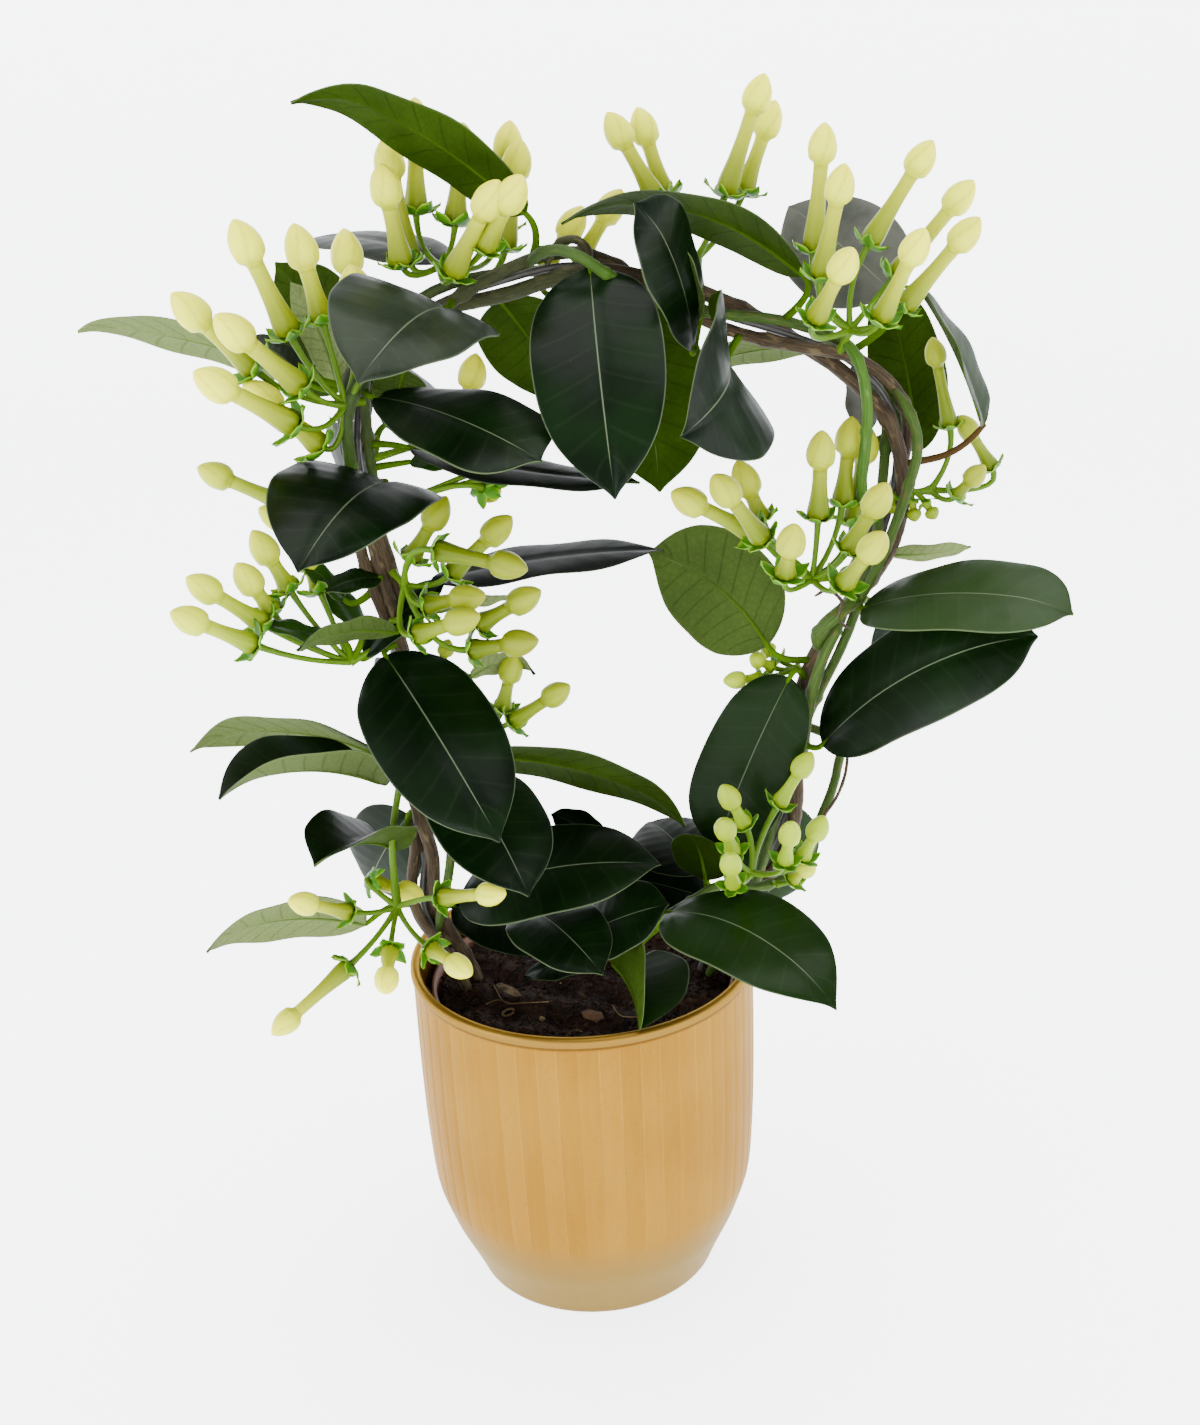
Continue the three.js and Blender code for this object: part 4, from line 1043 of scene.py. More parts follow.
def shell_faces(rows, columns):
    """Two sheets of rows by columns points, joined round their margin."""
    count = rows * columns
    upper = strip_of_quads(rows, columns)
    lower = [tuple(count + corner for corner in reversed(face)) for face in upper]
    rim = [row * columns for row in range(rows)]
    rim += [(rows - 1) * columns + column for column in range(1, columns)]
    rim += [row * columns + columns - 1 for row in range(rows - 2, -1, -1)]
    rim += list(range(columns - 2, 0, -1))
    sides = [(a, b, b + count, a + count) for a, b in zip(rim, rim[1:] + rim[:1])]
    return upper + lower + sides

# %% The stalk of a leaf, which runs on under the blade as its midrib
STALK_SIDES, STALK_SWEEP = 8, 0.45
BENT_POINTS, PASSING_POINTS, RIB_POINTS = 9, 12, 18


def swept_ring(line, radii):
    """A round, closed tube through the points of a line."""
    guide, rings = UP + 0.01, []
    turn = round_angles(STALK_SIDES)
    for point, way, radius in zip(line, np.gradient(line, axis=0), radii):
        way = unit(way)
        guide = unit(guide - way * (guide @ way))
        other = np.cross(way, guide)
        rings.append(point + radius * (np.outer(np.cos(turn), guide) + np.outer(np.sin(turn), other)))
    return np.vstack(rings), capped_tube(len(line), STALK_SIDES)


def leaf_stalk(leaf, start, end, root):
    """The stalk's middle line, its radii and how green it is, from the stem to near the blade's tip."""
    passes = [seen(*place) for place in leaf["via"]]
    root = root_for(passes[-1] if passes else start) if root is None else root
    if passes:
        reach = smooth_line([root, *reversed(passes), start], PASSING_POINTS)
    else:
        heading = unit(spine(leaf, start, end, 0.03)[0] - start)
        elbow = start - heading * STALK_SWEEP * np.linalg.norm(root - start)
        reach = bent_line(root, elbow, start, BENT_POINTS)
    rib = []
    for part in np.linspace(0.04, 0.93, RIB_POINTS):
        point, face, _ = spine(leaf, start, end, part)
        rib.append(point - face * (0.35 + 0.25 * (1 - part)))
    thick = np.concatenate([np.linspace(1.4, 0.95, len(reach)), np.linspace(0.75, 0.2, len(rib))])
    green = np.concatenate([np.ones(len(reach)), np.linspace(0.6, 0.1, len(rib))])
    return np.vstack([reach, rib]), thick, green

# %% A whole leaf
def leaf_parts(leaf, root, seed):
    """Points, faces and readings of a leaf: its blade and its stalk."""
    start = seen(*leaf["base"])
    end = seen_at(start, leaf["long"], leaf["tip"], leaf["side"])
    upper, lower, sheet = blade(leaf, start, end, np.random.default_rng(seed))
    line, radii, green = leaf_stalk(leaf, start, end, root)
    tube, tube_faces = swept_ring(line, radii)
    points = np.vstack([upper, lower, tube])
    faces = shell_faces(ALONG + 1, ACROSS + 1) + shifted(tube_faces, 2 * len(upper))
    readings = dict(
        across=np.concatenate([sheet[:, 0], sheet[:, 0], np.full(len(tube), 0.4)]),
        along=np.concatenate([sheet[:, 1], sheet[:, 1], np.full(len(tube), 0.5)]),
        under=np.concatenate([np.zeros(len(upper)), np.ones(len(lower) + len(tube))]),
        stalk=np.concatenate([np.zeros(2 * len(upper)), np.repeat(green * (1 + leaf["brown"]), STALK_SIDES)]))
    return points, faces, readings | {tone: np.full(len(points), float(leaf[tone])) for tone in TONES}


def leaf_piece(name, *leaves):
    """One piece from leaves, each given as (leaf, root, seed)."""
    points, faces, readings = [], [], []
    for leaf in leaves:
        more, more_faces, more_readings = leaf_parts(*leaf)
        faces += shifted(more_faces, len(points))
        points.extend(more)
        readings.append(more_readings)
    joined = {reading: np.concatenate([part[reading] for part in readings]) for reading in readings[0]}
    return place_piece(name, make_solid(name, points, faces, **joined), LEAF_SKIN)


print("faces of one leaf:", len(leaf_parts(near(526, 214, -8, 300, 82, 79, 36, 117), None, 0)[1]))

# %% [markdown]
# ## Where each leaf grows
#
# Each row is near or far: the blade's tip comes nearer to the viewer, or goes further off. Then come
# the base's two places on the drawing sheet with its depth, the tip's two places, the length and the
# width in millimetres, and the turn. Last come its bends, its outline and its tones. `tone` lightens
# the upper face, `pale` paints light on the under face, `grey` paints a grey sheen, a reflection of
# the bright surroundings, and `dim` paints shade. `lobes` says how far the two lobes of a
# heart-shaped base reach back, the nearer one first, and `slim` narrows that half.

# %% The single leaves
LEAVES = {
    "leaf_top_left_arch": near(526, 214, -8, 300, 82, 79, 36, 117, twist=-10, bow=6, hook=7, tone=0.1),
    "leaf_far_left_upper": far(298, 372, 10, 80, 323, 80, 34, 108, twist=-14, bow=3, hook=3, tone=0.2,
        pale=0.65),
    "leaf_left_back_up": far(345, 388, 14, 276, 262, 56, 36, 150, bow=6, tone=0.1, pale=0.1),
    "leaf_top_left_back": far(445, 265, 16, 306, 240, 66, 36, 74, bow=4, grey=0.12, dim=0.2),
    "leaf_heart_top_left": near(445, 308, -20, 358, 382, 62, 56, 30, bow=7, tone=0.15, grey=0.12,
        form="heart", lobes=(17, 4), slim=0.7),
    "leaf_dark_left_mid": near(374, 397, -12, 541, 461, 76, 38, 48, bow=4, form="broad"),
    "leaf_centre_big": near(590, 268, -12, 615, 499, 84, 42, -5, bow=6, cup=6),
    "leaf_centre_shelf": near(410, 448, -6, 640, 482, 78, 34, 74, bow=-2, dim=0.6),
    "leaf_behind_centre": far(634, 300, 10, 660, 492, 68, 42, 165, bow=4, dim=0.12),
    "leaf_behind_centre_left": far(500, 300, 10, 570, 402, 56, 34, 160, bow=3),
    "leaf_top_folded": near(692, 350, -14, 643, 202, 56, 34, 58, bow=4, hook=3, form="broad"),
    "leaf_top_long": near(803, 275, -7, 564, 211, 75.4, 36, 108, twist=-15, bow=11, hook=4, tone=0.15,
        pale=0.05),
    "leaf_grey_back": far(892, 292, 15, 789, 206, 60, 40, 15, bow=4, cup=-8, tone=0.1, grey=0.6),
    "leaf_right_narrow": near(984, 425, -11, 919, 288, 52, 26, 80, twist=24, bow=2, cup=12, brown=1,
        via=((966, 443, -9), (945, 455, -6)), tone=0.3, pale=0.2, grey=0.12, dim=0.2),
    "leaf_right_net": far(918, 452, 18, 883, 277, 62, 30, 150, bow=4, tone=0.3),
    "leaf_heart_right_top": near(728, 362, -14, 681, 437, 56, 52, -40, bow=6, cup=15, form="heart",
        lobes=(8, 6)),
    "leaf_back_long": far(835, 345, 18, 662, 378, 66, 34, 105, bow=4, tone=0.1, pale=0.45),
    "leaf_gap_dark": far(430, 582, 12, 664, 550, 84, 34, 70, bow=3, pale=0.5, dim=0.6),
    "leaf_light_green": far(768, 646, -2, 648, 552, 60, 41, 165, bow=3, sway=-5, tone=0.5, pale=0.25),
    "leaf_right_mid": near(863, 608, -6, 1071, 607, 78, 38, 52, bow=6, hook=3, tone=0.4, pale=0.1,
        grey=0.1, form="blunt"),
    "leaf_right_dark": near(822, 745, -8, 1033, 634, 90, 40, 28, bow=4, sway=6, hook=3, tone=0.1,
        form="blunt"),
    "leaf_centre_right": far(790, 677, -9.5, 716, 850, 69, 35, -8, bow=3, sway=-1, tone=0.26, pale=0.1,
        dim=0.35, form="blunt"),
    "leaf_low_centre": far(470, 757, 10, 688, 816, 84, 36, 110, bow=7, hook=4, tone=0.1, pale=0.1),
    "leaf_big_dark_left": near(385, 655, -12, 500, 842, 86, 43, 8, bow=6, cup=-6),
    "leaf_low_left_dark": near(455, 772, -10, 529, 896, 62, 40, 22, bow=5),
    "leaf_low_shelf": near(460, 900, -10, 661, 864, 79, 42, 42, bow=8),
    "leaf_low_right_back": far(783, 802, 15, 762, 908, 46, 34, 30, bow=4, tone=0.3, pale=0.3),
    "leaf_far_left_low": near(366, 924, -4, 204, 944, 64, 34, 113, bow=6, hook=3, via=((388, 908, -6),),
        tone=0.2, pale=0.7),
    "leaf_heart_left_mid": near(385, 482, -16, 298, 572, 62, 56, 32, bow=7, form="heart", lobes=(17, 4),
        slim=0.72)}
for number, (name, leaf) in enumerate(LEAVES.items()):
    hand_over(leaf_piece(name + "_skin", (leaf, None, number)), name)
print("single leaves:", len(LEAVES))

# %% Small leaves between the large ones
# Each row: the solid it belongs to, and its shape.
SMALL_LEAVES = {
    "small_round": ("leaf_heart_top_left", near(405, 370, -8, 391, 409, 15, 18, 165, bow=1, pale=0.2)),
    "small_shelf": ("leaf_centre_shelf", near(410, 462, 2, 474, 464, 22, 13, 60, bow=1, tone=0.5,
        pale=0.2)),
    "small_inner_dark": ("twig_left_mid", near(364, 656, -8, 447, 578, 38, 15, 48, bow=2, tone=0.1,
        pale=0.2, dim=0.3)),
    "pale_inner_strip": ("leaf_gap_dark", far(438, 611, 6, 513, 598, 25, 12, 108, bow=1, pale=1)),
    "pale_hooked": ("leaf_gap_dark", far(470, 676, 6, 533, 662, 22, 15, 118, bow=3, hook=5, pale=0.9)),
    "pale_fishtail": ("leaf_right_net", near(886, 553, 3, 971, 546, 28, 14, 113, bow=-1, pale=0.8)),
    "grey_strip": ("leaf_grey_back", far(863, 434, 14, 852, 366, 22, 15, 45, bow=2, grey=0.8)),
    "pale_left": ("leaf_left_back_up", far(338, 382, 16, 291, 282, 36, 15, 150, bow=3, pale=1)),
    "gap_low_dark": ("leaf_low_centre", far(604, 840, 4, 551, 814, 20, 15, 40, bow=1, dim=0.5)),
    "soil_dark": ("twig_low_centre", far(600, 960, -12, 524, 976, 30, 18, 55, bow=2, dim=0.5)),
    "back_rim_dark": ("leaf_low_shelf", near(452, 906, 12, 548, 950, 38, 27, 40, bow=3, dim=0.6)),
    "folded_green": ("leaf_top_folded", near(694, 322, -10, 671, 234, 32, 15, 125, bow=1, tone=0.4,
        pale=0.3)),
    "far_left_dark": ("leaf_far_left_upper", far(303, 378, 8, 250, 336, 22, 16, 55, bow=1, grey=0.1)),
    "back_rim_right": ("leaf_low_right_back", far(718, 902, 8, 630, 878, 34, 22, 40, bow=1, dim=0.5)),
    "young_left_one": ("umbel_left_lower", near(345, 600, -2, 296, 560, 20, 9, 40, bow=2, tone=0.5,
        pale=0.4)),
    "young_left_two": ("umbel_left_lower", near(380, 578, -6, 326, 592, 20, 12, 50, bow=2, tone=0.2,
        pale=0.3, dim=0.2))}
FIRST_SMALL_SEED = 60
for number, (name, (node, leaf)) in enumerate(SMALL_LEAVES.items(), FIRST_SMALL_SEED):
    hand_over(leaf_piece(name + "_skin", (leaf, None, number)), node)
print("small leaves:", len(SMALL_LEAVES))

# %% [markdown]
# ## Buds
#
# A closed bud has three parts: a tube that flares at its foot, a head where the five petals lie
# wrapped over one another like a furled umbrella, and a calyx of five small ruffled sepals that
# stand out below. Every bud is the same thing at another length and width, so each part is made
# once, one unit long, and a Geometry Nodes tree puts it in place as often as it is needed.

# %% The tube, the head and the sepals, each made once
AROUND, PETALS = 30, 5
TAB_AT, TAB_HIGH, FOLD_WIDE = 0.16, 0.07, 0.12
TUBE_PROFILE = [
    (0.3, 0), (0.56, 0.015), (0.72, 0.05), (0.76, 0.12), (0.7, 0.24), (0.58, 0.45), (0.5, 0.72), (0.5, 1)]
HEAD_PROFILE = [
    (0.49, -0.05), (0.54, 0.02), (0.74, 0.09), (0.9, 0.18), (0.98, 0.31), (0.97, 0.46), (0.86, 0.63),
    (0.65, 0.78), (0.4, 0.9), (0.17, 0.97), (0.02, 1)]
SEPAL_ROWS, SEPAL_COLUMNS, SEPAL_THICK = 7, 5, 0.32


def turned(name, profile, steps, ripe, ribs=0.0, wrap=0.0, turns=0.0, tabs=0.0):
    """A form turned from a profile of (radius, height), with the five petals' ribs, wraps or tabs."""
    line = smooth_line(profile, steps)
    points, ripeness, folds = [], [], []
    for radius, height in line:
        share = (height - line[0][1]) / (line[-1][1] - line[0][1])
        low_edge = math.exp(-(((share - TAB_AT) / TAB_HIGH) ** 2))
        full = math.sin(math.pi * min(share * 1.15 + 0.06, 1)) ** 0.7
        for angle in round_angles(AROUND):
            petal = (PETALS * (angle - turns * share) / (2 * math.pi)) % 1
            swell = 1 + ribs * math.cos(PETALS * 2 * angle) * (1 - share)
            swell += wrap * (math.sin(math.pi * petal**0.6) - 0.6) * full
            swell += tabs * low_edge * max(math.cos(PETALS * angle), 0)
            points.append((radius * swell * math.cos(angle), radius * swell * math.sin(angle), height))
            ripeness.append(ripe[0] + (ripe[1] - ripe[0]) * share)
            # The fold reading marks the creases between the wrapped petals, where the finish paints shade.
            folds.append(max(1 - min(petal, 1 - petal) / FOLD_WIDE, 0) if wrap else 0)
    faces = capped_tube(len(line), AROUND)
    return place_piece(name, make_mesh(name, np.array(points) / MM, faces, ripe=ripeness, fold=folds))


def calyx():
    """Five sepals round the foot of a bud, in millimetres, as thin curved shells."""
    points, faces, ripe = [], [], []
    for sepal in range(PETALS):
        angle = 2 * math.pi * (sepal + 0.5) / PETALS
        out = np.array([math.cos(angle), math.sin(angle), 0])
        beside = np.array([-math.sin(angle), math.cos(angle), 0])
        faces += shifted(shell_faces(SEPAL_ROWS, SEPAL_COLUMNS), len(points))
        for thick in (SEPAL_THICK / 2, -SEPAL_THICK / 2):
            for row in range(SEPAL_ROWS):
                share = row / (SEPAL_ROWS - 1)
                half = 2.6 * math.sin(math.pi * (0.16 + 0.78 * share)) ** 0.75 * (1 - share**6)
                for column in range(SEPAL_COLUMNS):
                    off = 2 * column / (SEPAL_COLUMNS - 1) - 1
                    rise = -0.6 + 0.5 * share + 2.2 * share**2 + 0.9 * off * off * share
                    rise += 0.3 * math.sin(9 * share + 2 * off + 2 * sepal)
                    points.append(out * (1.4 + 6.2 * share) + beside * off * half + UP * (rise + thick))
                    ripe.append(0.21 + 0.08 * abs(off) ** 3)
    mesh = make_solid("bud_calyx", points, faces, ripe=ripe, fold=np.zeros(len(ripe)))
    return place_piece("bud_calyx", mesh)


BUD_PARTS = dict(
    Tube=turned("bud_tube", TUBE_PROFILE, 14, (0.36, 0.66), ribs=0.05),
    Head=turned("bud_head", HEAD_PROFILE, 22, (0.68, 1.0), wrap=0.055, turns=0.9, tabs=0.09), Calyx=calyx())
print("faces of the parts:", {name: len(part.data.polygons) for name, part in BUD_PARTS.items()})

# %% [markdown]
# ## The tree that grows a cluster
#
# A cluster's seed is a small mesh. Its edges are the stalks: one from the stem to the hub, and one
# from the hub to the foot of each bud. Its loose points are the buds, and each point carries where
# its bud aims, how long tube and head are, how wide the head is, and a spin. The tree sweeps the
# stalks, puts tube, head and calyx on every bud point, turns them the right way, and makes it real.

# %% The tree for clusters
STALK_RIPE = 0.1


def bud_turn(bench):
    """Turned so that its height runs along the bud's aim, and spun about it."""
    aim = bench.node("FunctionNodeAlignRotationToVector", {"axis": "Z"}, {
        "Vector": named(bench, "aim", "FLOAT_VECTOR")})
    sockets = {"Axis": (0, 0, 1), "Angle": named(bench, "spin")}
    spin = bench.node("FunctionNodeAxisAngleToRotation", None, sockets)
    sockets = {"Rotation": aim, "Rotate By": spin}
    return bench.node("FunctionNodeRotateRotation", {"rotation_space": "LOCAL"}, sockets)


def cluster_tree():
    inputs = {"Tube": ("Object", None), "Head": ("Object", None), "Calyx": ("Object", None),
              "Sides": ("Int", 8), "Spacing": ("Float", 0.0012), "Material": ("Material", None)}
    bench, given = new_tree("bud_cluster", inputs)
    buds = bench.node("GeometryNodeSeparateGeometry", {"domain": "POINT"}, {
        "Geometry": given["Geometry"], "Selection": named(bench, "is_bud")})
    stalks = Wire(bench, buds.socket.node.outputs["Inverted"])
    sticks = stored(bench, tube_along(bench, stalks, given["Sides"], given["Spacing"]), "ripe", STALK_RIPE)
    fat, tube_long, head_long, leafy = (
        named(bench, reading) for reading in ("fat", "tube_long", "head_long", "calyx"))
    lift = bench.vector_maths("SCALE", {"Vector": named(bench, "aim", "FLOAT_VECTOR"), "Scale": tube_long})
    crowns, turn = moved(bench, buds, lift), bud_turn(bench)
    whole = bench.tree.nodes.new("GeometryNodeJoinGeometry")
    for part in (
            sticks, placed_on(bench, buds, given["Tube"], turn, bench.xyz(fat, fat, tube_long)),
            placed_on(bench, crowns, given["Head"], turn, bench.xyz(fat, fat, head_long)),
            placed_on(bench, buds, given["Calyx"], turn, bench.xyz(leafy, leafy, leafy))):
        bench.tree.links.new(part.socket, whole.inputs["Geometry"])
    return finish_tree(bench, Wire(bench, whole.outputs["Geometry"]), given["Material"])


CLUSTER_TREE = cluster_tree()
print("cluster tree:", len(CLUSTER_TREE.nodes), "nodes")

# %% The seed of a cluster
HEAD_LONG, HEAD_SHARE, USUAL_HEAD = 2.7, 0.6, 5
LINE_POINTS, PEDICEL_SWEEP, INTO_BUD = 8, 0.5, 0.6
STALK_SHAPE = np.array([1.25, 1.05, 0.95, 0.9, 0.9, 0.95, 1.15, 1.4])
PEDICEL_RADII = 1.1 * np.array([1.2, 1.0, 0.9, 0.88, 0.9, 0.95, 1.05, 1.3])
# What a spray is like where its row says nothing else.
PLAIN_SPRAY = dict(node=None, head=USUAL_HEAD, thick=1.4, via=(), young=0, dim=0, buds=(), leaves=())
NOT_A_BUD = dict(is_bud=0, aim=(0, 0, 1), tube_long=0, head_long=0)


def bud_seeds(spray, centre):
    """The pedicel lines and the bud points of a spray."""
    pedicels, buds = [], []
    for calyx_u, calyx_v, tip_u, tip_v, deep, lean in spray["buds"]:
        depth = spray["hub"][2] + deep
        foot, tip = seen(calyx_u, calyx_v, depth), seen(tip_u, tip_v, depth + lean)
        axis, long = unit(tip - foot), np.linalg.norm(tip - foot)
        elbow = foot - axis * PEDICEL_SWEEP * np.linalg.norm(centre - foot)
        pedicels.append(bent_line(centre, elbow, foot + axis * INTO_BUD, LINE_POINTS))
        head = min(HEAD_LONG * spray["head"], HEAD_SHARE * long)
        buds.append(dict(place=foot, is_bud=1, aim=axis, tube_long=(long - head) * MM, head_long=head * MM))
    return pedicels, buds


def seed_mesh(name, spray, chance):
    """The stalks of a spray as lines and its buds as loose points, with what the tree reads there."""
    centre = seen(*spray["hub"])
    passes = [seen(*place) for place in spray["via"]]
    root = root_for(passes[-1] if passes else centre)
    pedicels, buds = bud_seeds(spray, centre)
    main = smooth_line([root, *reversed(passes), centre], LINE_POINTS)
    radii = [spray["thick"] * STALK_SHAPE, *[PEDICEL_RADII] * len(pedicels)]
    mesh = line_mesh(name, [main, *pedicels], radii)
    rows = [NOT_A_BUD] * len(mesh.vertices) + buds
    mesh.vertices.add(len(buds))
    for corner, row in zip(mesh.vertices, rows):
        if row["is_bud"]:
            corner.co = row["place"] * MM
    write_readings(mesh, {reading: [row[reading] for row in rows] for reading in NOT_A_BUD})
    write_readings(mesh, dict(
        fat=np.full(len(rows), spray["head"] * MM), spin=chance.uniform(0, 2 * math.pi, len(rows)),
        calyx=chance.uniform(0.95, 1.18, len(rows)) * spray["head"] / USUAL_HEAD,
        young=np.full(len(rows), spray["young"]),
        dim=np.clip(spray["dim"] + chance.uniform(-0.08, 0.14, len(rows)), 0, 1)))
    return mesh


print("stalks and pedicels have", LINE_POINTS, "points each")

# %% [markdown]
# ## Where each cluster and leafy twig grows
#
# A spray is a hub on a stalk. Its buds are rows of six numbers: the calyx and the tip on the drawing
# sheet, the calyx's depth counted from the hub's, and the tip's depth counted from the calyx's. Its
# leaves are rows like those above, and their stalks start at the hub. `young` is how green its buds
# still are, and `dim` how dark they are in the shade of the leaves.

